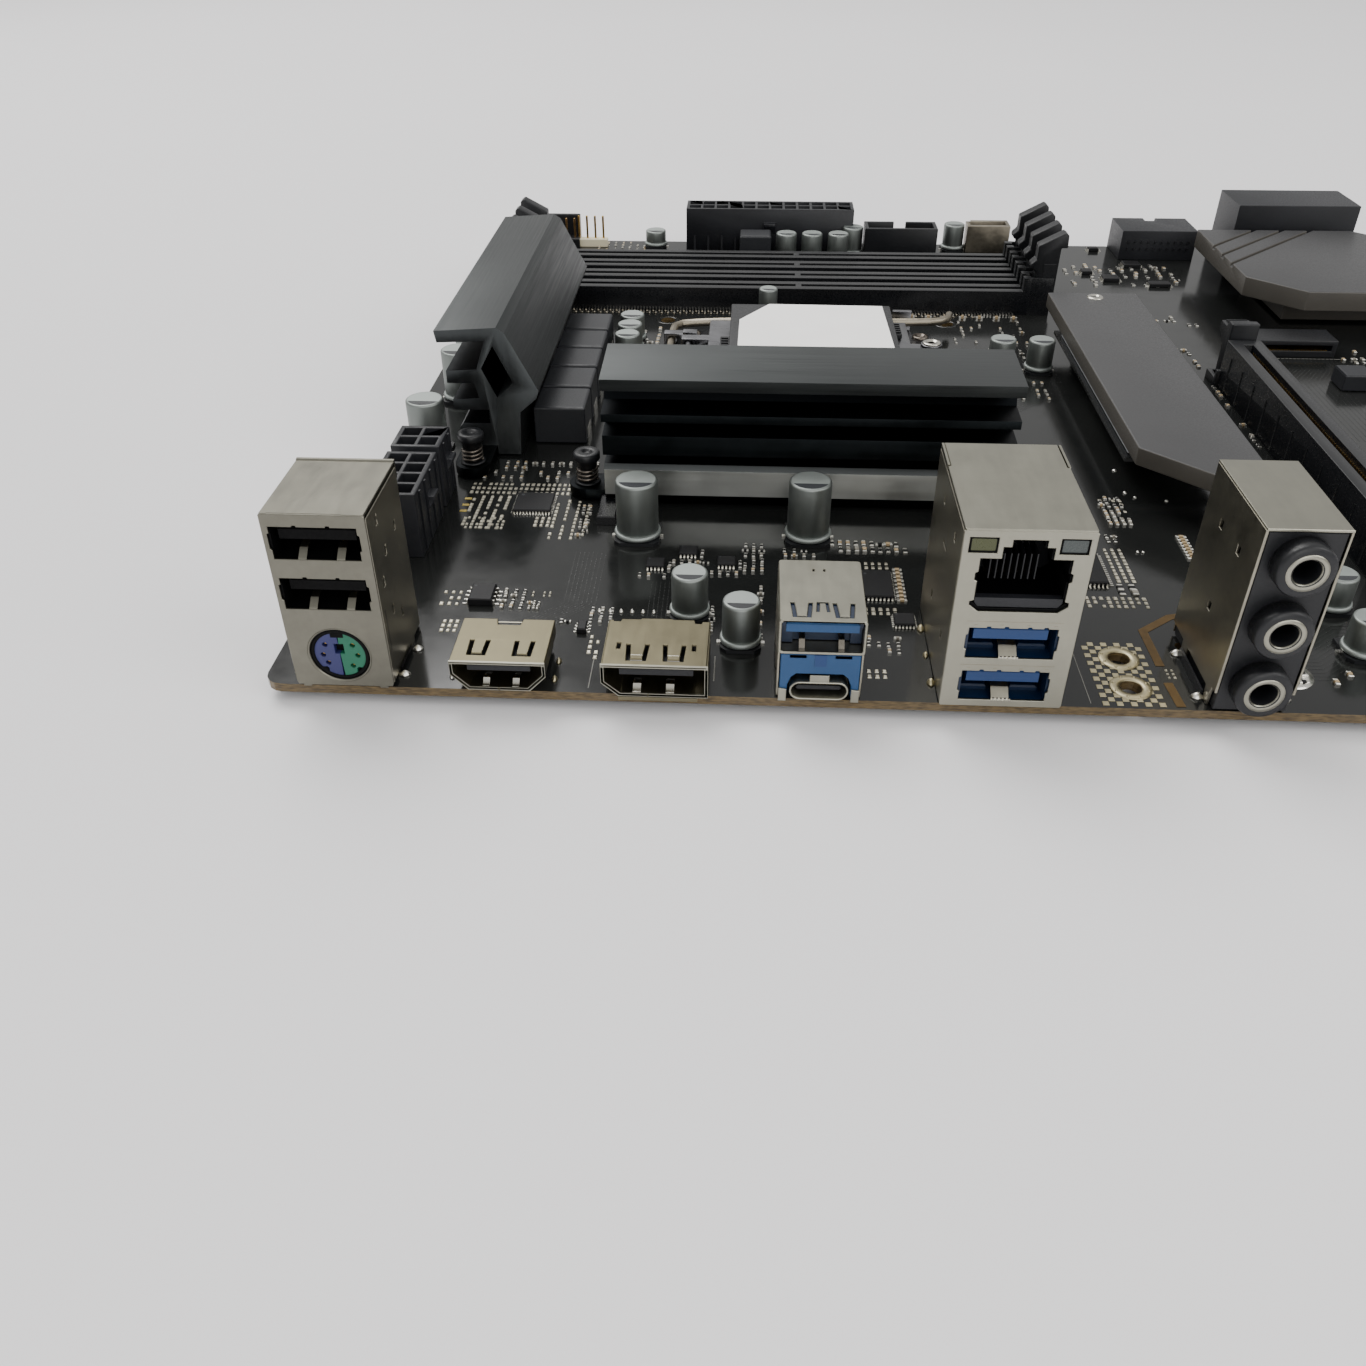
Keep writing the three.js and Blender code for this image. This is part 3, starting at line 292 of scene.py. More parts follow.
    # Of the next four, the first is near-black painted shade for the extrusion's gaps, the second a
    # darker tone of painted shade for the fins' fronts under the top plate, the third a bright painted
    # highlight on the foot's front, and the last the cut ends' own colour.
    metal("anodised_gap_shade", "131517", 0.5, (0.03, 0.03, 1), stain=0.2, fleck=0.2)
    metal("fin_front_shade", "24282a", 0.45, (0.03, 0.03, 1), stain=0.15, fleck=0.25)
    metal("foot_face_highlight", "c3c5c1", 0.42, (0.03, 1, 1), stain=0.08, fleck=0.25)
    metal("cut_end", "474a4b", 0.4, (1, 1, 0.2), stain=0.12, fleck=0.35)

    # Painted slab: satin grey with a fine powder grain, and its warmer edge.
    plastic("slab_coat", "333334", 0.42, 0.35, spread=0.05, grain_size=3500)
    plastic("slab_edge", "4a4742", 0.4, 0.25, spread=0.1)


# ---------------------------------------------------------------- mesh building

PLACE = {"x": lambda a, b, d: (d, a, b), "y": lambda a, b, d: (a, d, b), "z": lambda a, b, d: (a, b, d)}


def skin(rings, sides, closed=False):
    """The faces between rings of points, where each ring has the same number of points."""
    return [(k * sides + i, k * sides + (i + 1) % sides, (k + 1) % rings * sides + (i + 1) % sides,
             (k + 1) % rings * sides + i)
            for k in range(rings if closed else rings - 1) for i in range(sides)]


def caps(rings, sides):
    """The two faces that close the first and the last ring."""
    last = (rings - 1) * sides
    return [tuple(range(sides))[::-1], tuple(range(last, last + sides))]


class Build:
    """Gathers shapes, in millimetres from the board's corner or from offset, into one piece."""

    def __init__(self, offset=(0, 0, 0)):
        self.bm = bmesh.new()
        self.mats = []
        self.offset = Vector(offset)

    def faces(self, points, faces, mat, smooth=False):
        if mat not in self.mats:
            self.mats.append(mat)
        index = self.mats.index(mat)
        verts = [self.bm.verts.new(p) for p in points]
        made = [self.bm.faces.new([verts[i] for i in face]) for face in faces]
        for face in made:
            face.material_index = index
            face.smooth = smooth
        return verts, made

    def box(self, x, y, z, mat, chamfer=0.0):
        """A box with its top edges chamfered, where chamfer isn't 0."""
        (x0, x1), (y0, y1), (z0, z1) = x, y, z
        c = chamfer
        points = []
        for inset, height in [(0, z0), (0, z1 - c), (c, z1)] if c else [(0, z0), (0, z1)]:
            points += [(x0 + inset, y0 + inset, height), (x1 - inset, y0 + inset, height),
                       (x1 - inset, y1 - inset, height), (x0 + inset, y1 - inset, height)]
        rings = len(points) // 4
        self.faces(points, skin(rings, 4) + caps(rings, 4), mat)

    def bar(self, x, y, wide, deep, z, mat, chamfer=0.0):
        """A box that stands round a place, wide along x and deep along y."""
        self.box((x - wide / 2, x + wide / 2), (y - deep / 2, y + deep / 2), z, mat, chamfer)

    def prism(self, outline, depth, axis, mat):
        """An outline in the two other axes, run along axis between the two depths."""
        points = [PLACE[axis](a, b, d) for d in depth for a, b in outline]
        self.faces(points, skin(2, len(outline)) + caps(2, len(outline)), mat)

    def lathe(self, profile, centre, axis, mat, sides=20, closed=False):
        """A turned shape: profile lists (radius, height along axis).

        It is a bar with flat ends, or, where closed, a ring whose profile closes on itself.
        """
        a0, b0 = centre
        turns = [2 * math.pi * i / sides for i in range(sides)]
        points = [PLACE[axis](a0 + r * math.cos(t), b0 + r * math.sin(t), d)
                  for r, d in profile for t in turns]
        count = len(profile)
        ends = [] if closed else caps(count, sides)
        verts, made = self.faces(points, skin(count, sides, closed) + ends, mat, True)
        for face in made[len(made) - len(ends):]:
            face.smooth = False
        return verts

    def knob(self, profile, place, size, mat, sides):
        """A turned shape drawn at unit size, then stretched and set down at a place."""
        matrix = Matrix.Translation(place) @ Matrix.Diagonal((*size, 1))
        for v in self.lathe(profile, (0, 0), "z", mat, sides):
            v.co = matrix @ v.co

    def tube(self, path, radius, mat, sides=6):
        """A round wire along a list of points."""
        pts = [Vector(p) for p in path]
        points = []
        for i, p in enumerate(pts):
            run = (pts[min(i + 1, len(pts) - 1)] - pts[max(i - 1, 0)]).normalized()
            side = run.cross(Vector((0, 0, 1))).normalized()
            top = side.cross(run)
            for k in range(sides):
                t = 2 * math.pi * k / sides
                points.append(p + side * radius * math.cos(t) + top * radius * math.sin(t))
        self.faces(points, skin(len(pts), sides) + caps(len(pts), sides), mat, True)

    def plate(self, outer, holes, axis, depth, mat, rounding=0.06):
        """A flat sheet with holes: outlines in the two other axes, with rounded edges."""
        curve = bpy.data.curves.new("sheet", "CURVE")
        curve.dimensions = "2D"
        curve.fill_mode = "BOTH"
        curve.extrude = (depth[1] - depth[0]) / 2 - rounding
        curve.bevel_depth = rounding
        curve.bevel_resolution = 0
        curve.offset = -rounding
        for outline in [outer, *holes]:
            spline = curve.splines.new("POLY")
            spline.points.add(len(outline) - 1)
            for point, (a, b) in zip(spline.points, outline):
                point.co = (a, b, 0, 1)
            spline.use_cyclic_u = True
        obj = bpy.data.objects.new("sheet", curve)
        bpy.context.scene.collection.objects.link(obj)
        bpy.context.view_layer.update()
        mesh = obj.evaluated_get(bpy.context.evaluated_depsgraph_get()).to_mesh()
        centre = (depth[0] + depth[1]) / 2
        points = [PLACE[axis](v.co.x, v.co.y, v.co.z + centre) for v in mesh.vertices]
        faces = [tuple(polygon.vertices) for polygon in mesh.polygons]
        verts, _ = self.faces(points, faces, mat)
        bmesh.ops.remove_doubles(self.bm, verts=verts, dist=1e-4)
        bpy.data.objects.remove(obj)
        bpy.data.curves.remove(curve)

    def ribbon(self, path, width, axis, mat, thick=0.25):
        """A bent strip: a path in the two other axes, drawn out along axis."""
        pts = [Vector(p) for p in path]
        left, right = [], []
        for i, p in enumerate(pts):
            run = (pts[min(i + 1, len(pts) - 1)] - pts[max(i - 1, 0)]).normalized()
            aside = Vector((-run.y, run.x)) * thick / 2
            left.append(tuple(p + aside))
            right.append(tuple(p - aside))
        self.prism(left + right[::-1], width, axis, mat)

    def spot(self, x, y, z, radius, mat, sides):
        """A thin disc of colour that lies on a surface."""
        self.faces([(a, b, z) for a, b in ring(x, y, radius, sides)], [tuple(range(sides))], mat)

    def done(self, name, body="board", slot=None, bevel=0.0, replaces=(), segments=2):
        """Makes the piece, scales it to metres and lets it ride on its body."""
        bmesh.ops.recalc_face_normals(self.bm, faces=self.bm.faces)
        self.bm.transform(Matrix.Translation(ORIGIN + self.offset * MM) @ Matrix.Scale(MM, 4))
        add_piece(name, self.bm, self.mats, body, slot, replaces, bevel, segments, 35)

    def look(self, node, slot, **options):
        """Makes the piece that is shown in a CAD node's place."""
        self.done("look_" + node, slot=slot, replaces=[node], **options)


def add_piece(name, bm, mats, body, slot, replaces, bevel, segments, angle):
    """Turns a finished bmesh into a piece, with its edges rounded where bevel isn't 0."""
    mesh = bpy.data.meshes.new(name)
    bm.to_mesh(mesh)
    bm.free()
    for mat in mats:
        mesh.materials.append(MATS[mat])
    obj = bpy.data.objects.new(name, mesh)
    bpy.context.scene.collection.objects.link(obj)
    if bevel:
        mod = obj.modifiers.new("edges", "BEVEL")
        mod.width = bevel * MM
        mod.segments = segments
        mod.limit_method = "ANGLE"
        mod.angle_limit = math.radians(angle)
        mod.harden_normals = True
        mod.use_clamp_overlap = True
        for polygon in mesh.polygons:
            polygon.use_smooth = True
    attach(obj, body)
    if replaces:
        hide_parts(*replaces)


def refined(node, mats, slot, width, body="board", choose=None):
    """A CAD node's own shape with clean flats, rounded edges and its materials.

    choose picks a face's material, by its place in mats.
    """
    bm = bmesh.new()
    bm.from_mesh(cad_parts[node].data)
    bmesh.ops.remove_doubles(bm, verts=bm.verts, dist=1e-6)
    bmesh.ops.dissolve_limit(bm, angle_limit=math.radians(1.5), verts=bm.verts, edges=bm.edges)
    for face in bm.faces:
        face.material_index = choose(face) if choose else 0
    add_piece("look_" + node, bm, mats, body, slot, [node], width, 2, 30)


# ---------------------------------------------------------------- outlines


def rect(x0, x1, y0, y1):
    return [(x0, y0), (x1, y0), (x1, y1), (x0, y1)]


def rounded(x0, x1, y0, y1, r, steps=3):
    """A rectangle's outline with rounded corners."""
    points = []
    for cx, cy, start in ((x1 - r, y0 + r, -90), (x1 - r, y1 - r, 0), (x0 + r, y1 - r, 90),
                          (x0 + r, y0 + r, 180)):
        for i in range(steps + 1):
            t = math.radians(start + 90 * i / steps)
            points.append((cx + r * math.cos(t), cy + r * math.sin(t)))
    return points


def ring(cx, cy, r, sides=32):
    return [(cx + r * math.cos(2 * math.pi * i / sides), cy + r * math.sin(2 * math.pi * i / sides))
            for i in range(sides)]


def mirrored(half, width):
    """An outline that is the same on both sides of its middle, from its left half."""
    return half + [(width - a, b) for a, b in reversed(half)]


def row(start, pitch, count):
    """Evenly spaced places along a line."""
    return [start + pitch * k for k in range(count)]


def usb_window(x0, x1, z0, z1, bumps=(0.3, 0.68)):
    """A USB-A mouth with the small notches that its latching springs and moulding leave."""
    side = [(0, z0), (0, z0 + 1.5), (0.3, z0 + 1.7), (0.3, z1 - 1.3), (0, z1 - 1.1), (0, z1)]
    points = [(x1 + a, z) for a, z in side]
    for share in sorted(bumps, reverse=True):
        x = x0 + share * (x1 - x0)
        points += [(x + 0.35, z1), (x + 0.25, z1 + 0.25), (x - 0.25, z1 + 0.25), (x - 0.35, z1)]
    return points + [(x0 - a, z) for a, z in reversed(side)]


def finger(x, y0, length, root, tip):
    """The U-shaped cut round a pressed finger whose tip is towards the front."""
    a, b, line = root / 2, tip / 2, 0.58
    y1 = y0 + length
    return [(x - b - line, y0 - line), (x + b + line, y0 - line), (x + a + line, y1), (x + a, y1),
            (x + b, y0), (x - b, y0), (x - a, y1), (x - a - line, y1)]


# ---------------------------------------------------------------- small metal work


def springs(b, places, width, path, mat="steel", thick=0.2):
    """The same bent strip at each place along x, its path given in (y, z)."""
    for x in places:
        b.ribbon(path, (x - width / 2, x + width / 2), "x", mat, thick)


def finger_tips(b, places, y, z, width):
    """The bends across the tips of pressed fingers, in bright steel as a painted highlight."""
    springs(b, places, width, [(y + 1.3, z), (y + 0.9, z + 0.02), (y + 0.55, z - 0.3),
                               (y + 0.15, z - 0.34)])


def side_sheets(b, w, outline, cuts, thick=0.42, rounding=0.07):
    """The same sheet on both sides of a shell."""
    for x in (0, w - thick):
        b.plate(outline, cuts, "x", (x, x + thick), "nickel_side", rounding)


def solder(b, x, y, rx, ry, height=0.9, mat="tin"):
    """A domed fillet of solder round a leg."""
    b.knob([(1.0, 0), (0.85, 0.35), (0.5, 0.75), (0.2, 1.0)], (x, y, 0), (rx, ry, height), mat, 12)


def dot(b, x, y, r, height=0.22, mat="tin", z=0.0):
    """A small low dome of solder."""
    b.knob([(1.0, 0), (0.8, 0.6), (0.35, 1.0)], (x, y, z), (r, r, height), mat, 8)


# ---------------------------------------------------------------- ports


def ps2_usb_stack():
    low, _, w, d, h = shell("ps2_usb_shell")
    mid, jack_z, mouths = w / 2, 6.1, (23.2, 14.5)
    b = Build((low.x, low.y, 0))
    windows = [usb_window(1.0, 14.1, z, z + 5.4) for z in mouths]
    outer = mirrored([(0.2, h - 0.1), (0, h - 0.3), (0, 1.0), (0.25, 0.35), (1.0, 0.35), (1.0, 0),
                      (2.2, 0), (2.4, 0.3)], w)
    b.plate(outer, windows + [ring(mid, jack_z, 5.0, 40)], "y", (0, 0.5), "nickel_dull", 0.08)
    # Top sheet, a dark seam behind the front edge, and the folded lip along the back.
    b.plate([(0.3, 0.12), (1.3, 0.12), (1.3, 0.3), (w - 3.4, 0.3), (w - 3.4, 0.12),
             (w - 0.3, 0.12), (w - 0.1, 0.4), (w - 0.1, d - 0.9), (0.1, d - 0.9), (0.1, 0.4)],
            [], "z", (h - 0.5, h - 0.03), "nickel_dull", 0.08)
    b.ribbon([(d - 1.1, h - 0.25), (d - 0.75, h - 0.2), (d - 0.5, h + 0.06), (d - 0.2, h + 0.1),
              (d - 0.12, h - 0.3), (d - 0.12, h - 3)], (0.1, w - 0.1), "x", "nickel_dull", 0.24)
    b.plate(rect(0.3, w - 0.3, 0.4, h - 1.2), [], "y", (d - 0.4, d - 0.05), "nickel_side")
    # Side sheets, with the punched tabs that hold the moulding, and a pressed rib low on each.
    tabs = [(4.6, 26.6), (6.5, 20.4), (3.4, 16.6), (5.6, 10.4), (9.6, 7.4), (12.5, 21.5)]
    side_sheets(b, w, [(0.55, 0.8), (3, 0.8), (3.2, 0), (5.2, 0), (5.4, 0.8), (11.6, 0.8), (11.8, 0),
                       (13.6, 0), (13.8, 0.8), (d - 0.6, 0.8), (d - 0.6, h - 0.9), (0.55, h - 0.9)],
                [[(y, z), (y + 0.75, z), (y + 0.75, z + 1.7), (y, z + 1.5)] for y, z in tabs])
    for face, inward in ((0, 1), (w, -1)):
        for y, z in tabs:
            b.ribbon([(face + inward * 0.3, z + 0.15), (face + inward * 0.05, z + 0.8),
                      (face + inward * 0.02, z + 1.4)], (y + 0.1, y + 0.65), "y", "nickel_dull", 0.16)
    for x in (0.02, w - 0.1):
        b.box((x, x + 0.12), (1.6, 2.2), (6, 13.5), "nickel_dull")
    # The rolled rim round the keyboard socket.
    b.lathe([(5.02, 0.55), (5.02, 0.02), (4.92, -0.02), (4.72, 0.12), (4.68, 0.6)], (mid, jack_z),
            "y", "nickel_dull", 40, closed=True)
    for z in mouths:
        springs(b, (5.2, 11.0), 1.25, [(0.1, z - 0.2), (0.35, z + 0.12), (1.7, z + 1.2),
                                       (3.3, z + 1.6), (6.1, z + 0.4)], "nickel_dull", 0.22)
    b.look("ps2_usb_shell", "port_shell")

    # Moulding behind the front sheet: a tongue in each mouth and the linings round it, all in
    # near-black painted shade.
    b = Build((low.x, low.y, 0))
    wide = (0.65, w - 0.65)
    for z in mouths:
        b.box((1.9, w - 2.1), (1.4, 11.5), (z + 2.75, z + 4.6), "painted_shade_black", 0.25)
        b.box(wide, (11, 12), (z - 0.3, z + 5.7), "painted_shade_black")
        b.box(wide, (0.6, 11.2), (z + 5.5, z + 6.0), "painted_shade_black")
        b.box(wide, (0.6, 11.2), (z - 0.8, z - 0.3), "painted_shade_black")
        for x in row(3.6, 2.3, 4):
            b.box((x, x + 0.9), (2.2, 10), (z + 2.68, z + 2.76), "gold")
        for x in (wide[0], wide[1] - 0.35):
            b.box((x, x + 0.35), (0.6, 11.2), (z - 0.5, z + 5.7), "painted_shade_black")
    b.box(wide, (12, d - 0.6), (0.8, h - 1.0), "painted_shade_black")
    b.box(wide, (0.6, 12), (11.6, 13.4), "painted_shade_black")
    b.box(wide, (9.4, 12.4), (0.8, 12), "painted_shade_black")
    b.lathe([(4.68, 0.25), (4.68, 9.5), (4.05, 9.5), (4.05, 0.2)], (mid, jack_z), "y", "painted_shade_black", 40,
            closed=True)
    b.look("ps2_usb_insulator", "black_plastic")

    keyboard_insert(low.x + mid, low.y, jack_z)

    # Legs and solder beside the shell, and a thin near-black strip of painted shade along its side.
    b = Build()
    for x, y in ((22.4, 3.4), (22.8, 10.6), (5.2, 3.4), (5.0, 10.6)):
        solder(b, x, y, 0.95, 0.8, 0.8)
    b.box((21.7, 22.0), (3.9, 10.0), (0.02, 1.1), "painted_shade_black")
    b.done("ps2_solder", slot="port_shell")


def keyboard_insert(x, y, z):
    """The two-tone insert: violet on one side, green on the other, six contacts and the key."""
    b = Build((x, y, z))
    holes = []
    for degrees in (38, -4, -52, 218, 184, 142):
        t = math.radians(degrees)
        holes.append((2.75 * math.cos(t), 2.75 * math.sin(t)))
    for side, mat, start, end in ((-1, "violet", 92, 268), (1, "green", -88, 88)):
        outline = []
        for i in range(29):
            degrees = start + (end - start) * i / 28
            t = math.radians(degrees)
            notched = 306 <= degrees % 360 <= 318 or 222 <= degrees % 360 <= 234
            r = 3.5 if notched else 4.05
            across = max(0.02, side * r * math.cos(t))
            outline.append((side * across, r * math.sin(t)))
        # The square key is cut from the half's straight edge.
        key = [(side * 0.02, 0.1), (side * 0.75, 0.1), (side * 0.75, 1.9), (side * 0.02, 1.9)]
        outline += key[::-side]
        b.plate(outline, [ring(a, c, 0.42, 12) for a, c in holes if side * a > 0], "y",
                (0.35, 1.6), mat, 0.06)
    # Painted shade, near-black: a block behind the insert and a small one at its top.
    b.box((-4.2, 4.2), (1.4, 7.5), (-4, 4), "painted_shade_black")
    b.box((-1.0, 1.0), (0.28, 1.0), (3.15, 4.15), "painted_shade_black")
    for hole in holes:
        b.lathe([(0.24, 0.9), (0.24, 1.6)], hole, "y", "gold", 8)
    b.look("ps2_insert", "insert_two_tone")


def hdmi_port():
    low, high, w, d, h = shell("hdmi_shell")
    mid, thick = w / 2, 0.42
    fingers = (3.9, 11.1)
    b = Build((low.x, low.y, 0))
    top = [(0, 0.0), (w, 0.0), (w, d), (9.8, d), (9.5, d - 1.7), (5.9, d - 1.7), (5.6, d), (0, d)]
    b.plate(top, [finger(x, 2.6, 3.6, 2.0, 1.7) for x in fingers], "z", (h - thick, h),
            "nickel_warm", 0.1)
    finger_tips(b, fingers, 2.6, h - 0.12, 1.7)
    lap = h - 0.5
    b.prism([(0.0, lap), (0, 3.2), (2.7, 0.5), (w - 2.7, 0.5), (w, 3.2), (w, lap),
             (w - thick, lap), (w - thick, 3.4), (w - 2.9, 0.5 + thick), (2.9, 0.5 + thick),
             (thick, 3.4), (thick, lap)], (0, d - 0.2), "y", "nickel_warm")
    # The front rim, a little proud of the sheet, with its seam under the middle.
    rim = mirrored([(-0.05, h + 0.02), (-0.05, 3.1), (2.6, 0.35), (mid - 0.06, 0.35),
                    (mid - 0.06, 0.95), (2.95, 0.95), (0.5, 3.4), (0.5, lap)], w)
    b.prism(rim, (0, 0.35), "y", "nickel")
    b.plate(rect(0.6, w - 0.6, 0.8, h - 0.4), [], "y", (d - 0.5, d - 0.15), "nickel_side")
    springs(b, (5.4, 10.1), 1.1, [(0.3, 0.9), (0.9, 1.1), (1.5, 1.75), (2.2, 1.8), (4, 1.0)])
    b.box((0.55, w - 0.55), (7.5, d - 0.6), (0.95, lap), "black")
    b.look("hdmi_shell", "port_shell", bevel=0.07, segments=1)

    b = Build((low.x, low.y, 0))
    b.box((2.5, w - 2.5), (1.2, 8), (3.35, 4.35), "charcoal", 0.15)
    b.box((1.0, w - 1.0), (6.8, 8.2), (0.9, h - 0.6), "black")
    for x in row(3.0, 1.0, 10):
        b.box((x, x + 0.45), (1.5, 7), (3.27, 3.36), "gold")
    b.look("hdmi_insulator", "black_plastic")

    b = Build()
    for x, mat in ((high.x + 0.75, "tin_warm"), (low.x - 0.75, "tin")):
        for y in (3.2, 8.2):
            solder(b, x, y, 0.5, 0.85, 0.7, mat)
    b.done("hdmi_solder", slot="port_shell")


def display_port():
    low, high, w, d, h = shell("displayport_shell")
    mid, thick = w / 2, 0.42
    fingers = (5.4, 11.2)
    b = Build((low.x, low.y, 0))
    top = [(0.2, 0), (w - 0.2, 0), (w - 0.1, d - 0.6), (w - 1.3, d - 0.6), (w - 1.5, d - 1.2),
           (w - 2.4, d - 1.2), (w - 2.6, d - 0.2), (10.6, d - 0.2), (10.4, d), (5.4, d),
           (5.2, d - 0.3), (2.2, d - 0.3), (2.0, d - 1.0), (1.0, d - 1.0), (0.8, d - 0.6),
           (0.2, d - 0.6)]
    cuts = [finger(x, 2.0, 3.9, 2.4, 1.9) for x in fingers]
    b.plate(top, cuts + [rect(2.1, 2.65, 4.6, 6.3), rect(w - 2.6, w - 2.05, 4.4, 6.1)], "z",
            (h - thick, h), "nickel_warm", 0.1)
    finger_tips(b, fingers, 2.0, h - 0.12, 1.9)
    # A thin bright steel bar across each finger: a painted highlight.
    for x in fingers:
        b.box((x - 0.9, x + 0.9), (2.9, 3.0), (h - 0.02, h + 0.03), "steel")
    lap = h - 0.5
    b.prism([(0.0, lap), (0, 2.9), (2.7, 0.5), (w, 0.5), (w, lap), (w - thick, lap),
             (w - thick, 0.5 + thick), (2.9, 0.5 + thick), (thick, 3.1), (thick, lap)],
            (0, d - 0.2), "y", "nickel_warm")
    # The front rim, with its seam, and the lip that laps over the board's edge.
    b.prism([(-0.05, h + 0.02), (-0.05, 2.8), (2.6, 0.4), (mid - 1.06, 0.4), (mid - 1.06, 1.0),
             (2.95, 1.0), (0.5, 3.1), (0.5, lap), (w - 0.5, lap), (w - 0.5, 1.0),
             (mid - 0.94, 1.0), (mid - 0.94, 0.4), (w + 0.05, 0.4), (w + 0.05, h + 0.02)],
            (0, 0.35), "y", "nickel")
    b.box((2.6, w - 1.6), (0, 1.1), (-0.35, 0.3), "nickel_warm")
    b.plate(rect(0.6, w - 0.6, 0.8, h - 0.4), [], "y", (d - 1.3, d - 0.95), "nickel_side")
    springs(b, (5.5, 10.7), 1.3, [(0.3, 0.95), (0.9, 1.15), (1.6, 1.8), (2.4, 1.85), (4, 1.1)])
    b.box((0.55, w - 0.55), (8, d - 1.4), (0.95, lap), "black")
    b.look("displayport_shell", "port_shell", bevel=0.07, segments=1)

    b = Build((low.x, low.y, 0))
    b.box((2.7, w - 2.3), (1.7, 8.2), (3.4, 4.6), "charcoal", 0.15)
    b.box((1.0, w - 1.0), (7, 8.4), (0.9, h - 0.6), "black")
    for x in row(3.5, 1.0, 10):
        b.box((x, x + 0.45), (2, 7), (3.32, 3.41), "gold")
    b.look("displayport_insulator", "black_plastic")

    b = Build()
    for x, y in ((low.x + 1.0, high.y + 0.5), (high.x - 1.2, high.y + 0.4)):
        solder(b, x, y, 0.8, 0.5, 0.6)
    b.done("displayport_solder", slot="port_shell")


def usb_a_over_c():
    low, _, w, d, h = shell("usb_a_over_c_shell")
    mid, deck, thick, loop_y = w / 2, 9.0, 0.4, 1.6
    fingers = (3.4, w - 3.4)
    b = Build((low.x, low.y, 0))
    tie = mirrored([(mid - 0.85, loop_y + 3.8), (mid - 1.0, loop_y + 1.0), (mid - 0.6, loop_y + 1.0),
                    (mid - 0.45, loop_y + 3.4)], w)
    cuts = [finger(x, loop_y, 3.6, 2.2, 1.5) for x in fingers]
    cuts += [tie, rect(5.4, 5.65, 14.4, 15.2), rect(7.1, 7.35, 14.4, 15.2)]
    b.plate(rounded(0.05, w - 0.05, 0, d, 0.5), cuts, "z", (h - thick, h), "nickel", 0.1)
    finger_tips(b, fingers, loop_y, h - 0.12, 1.5)
    # The mouth: a rounded loop that stands out from the sides.
    b.plate(rounded(0, w, deck, h - 0.02, 0.5),
            [rounded(thick, w - thick, deck + thick, h - thick, 0.35)], "y", (0, 0.5), "nickel", 0.1)
    side_sheets(b, w, [(0.3, deck + 0.2), (0.9, deck - 0.1), (0.9, 3.4), (1.3, 0.2), (2.4, 0.2),
                       (2.8, 2.6), (8.6, 2.6), (8.8, 0.2), (10, 0.2), (10.2, 2.6), (15.4, 2.6),
                       (15.6, 0.2), (17, 0.2), (17.2, h - 0.4), (0.3, h - 0.4)],
                [rect(4, 6.5, 10.6, 11.0), rect(4, 6.5, 12.6, 13.0)], thick, 0.08)
    b.box((thick, w - thick), (0.2, 9), (deck, deck + 0.35), "nickel")
    b.plate(rect(0.5, w - 0.5, 0.6, h - 0.5), [], "y", (d - 0.45, d - 0.1), "nickel_side")
    springs(b, (3.6, w - 3.6), 0.9, [(0.3, deck + 0.3), (0.8, deck + 0.6), (1.8, deck + 1.6),
                                     (3.2, deck + 1.8), (5, deck + 0.9)], "spring_steel")
    # Feet in front, beside the lower mouth, and the tie between them.
    for x0, x1 in ((0.35, 1.6), (w - 1.6, w - 0.35)):
        b.plate([(x0, 0.1), (x1, 0.1), (x1, 2.3), (x0, 2.5)], [], "y", (0.0, 0.4), "nickel", 0.08)
    b.plate(rect(mid - 1.5, mid + 1.5, 3.9, 5.0), [], "y", (0.1, 0.4), "nickel", 0.08)
    b.box((mid - 1.5, mid + 1.5), (0.1, 3), (3.75, 4.0), "nickel")
    b.look("usb_a_over_c_shell", "port_shell")

    b = Build((low.x, low.y, 0))
    # Tongue of the upper port, seen as a thick bar under the top sheet.
    b.box((1.1, w - 1.1), (0.9, 9.5), (12.5, 14.1), "blue_light", 0.3)
    # The walls inside the upper mouth are the blue's darker copy: painted shade.
    b.box((0.5, w - 0.5), (1.3, 10), (13.2, h - 0.45), "blue_shade")
    b.box((0.5, w - 0.5), (7.5, 10), (9.5, h - 0.5), "blue_shade")
    for x0, x1 in ((0.5, 2.2), (w - 2.2, w - 0.5)):
        b.box((x0, x1), (2.6, 9), (9.5, 12.6), "blue_shade", 0.2)
    b.box((2.2, w - 2.2), (3.4, 9), (9.5, 12.4), "blue_shade")
    for x in row(3.2, 1.9, 4):
        b.box((x, x + 0.8), (1.4, 8), (12.42, 12.52), "gold")
    # Arch over the lower port, with its two pillars.
    arch = mirrored([(0.5, deck - 0.25), (0.5, 0.6), (1.6, 0.6), (1.7, 3.0), (2.2, 4.4),
                     (3.0, 5.1)], w)
    b.plate(arch, [rect(2.0, 4.3, 8.2, 8.6), rect(w - 4.3, w - 2.0, 8.2, 8.6)], "y", (0.35, 2.2),
            "blue_light", 0.12)
    b.box((0.5, w - 0.5), (2.2, d - 0.7), (5.1, deck - 0.3), "blue_light")
    b.box((mid - 0.9, mid + 0.9), (0.25, 0.6), (6.6, deck - 0.3), "blue_tongue")
    b.box((1.7, w - 1.7), (9.8, d - 0.7), (0.3, 5.2), "black")
    b.look("usb_a_over_c_insulator", "insulator_blue")

    usb_c_mouth(low.x + mid, low.y, 2.1)


def capsule(width, height):
    return rounded(-width / 2, width / 2, -height / 2, height / 2, height / 2 - 0.01, 8)


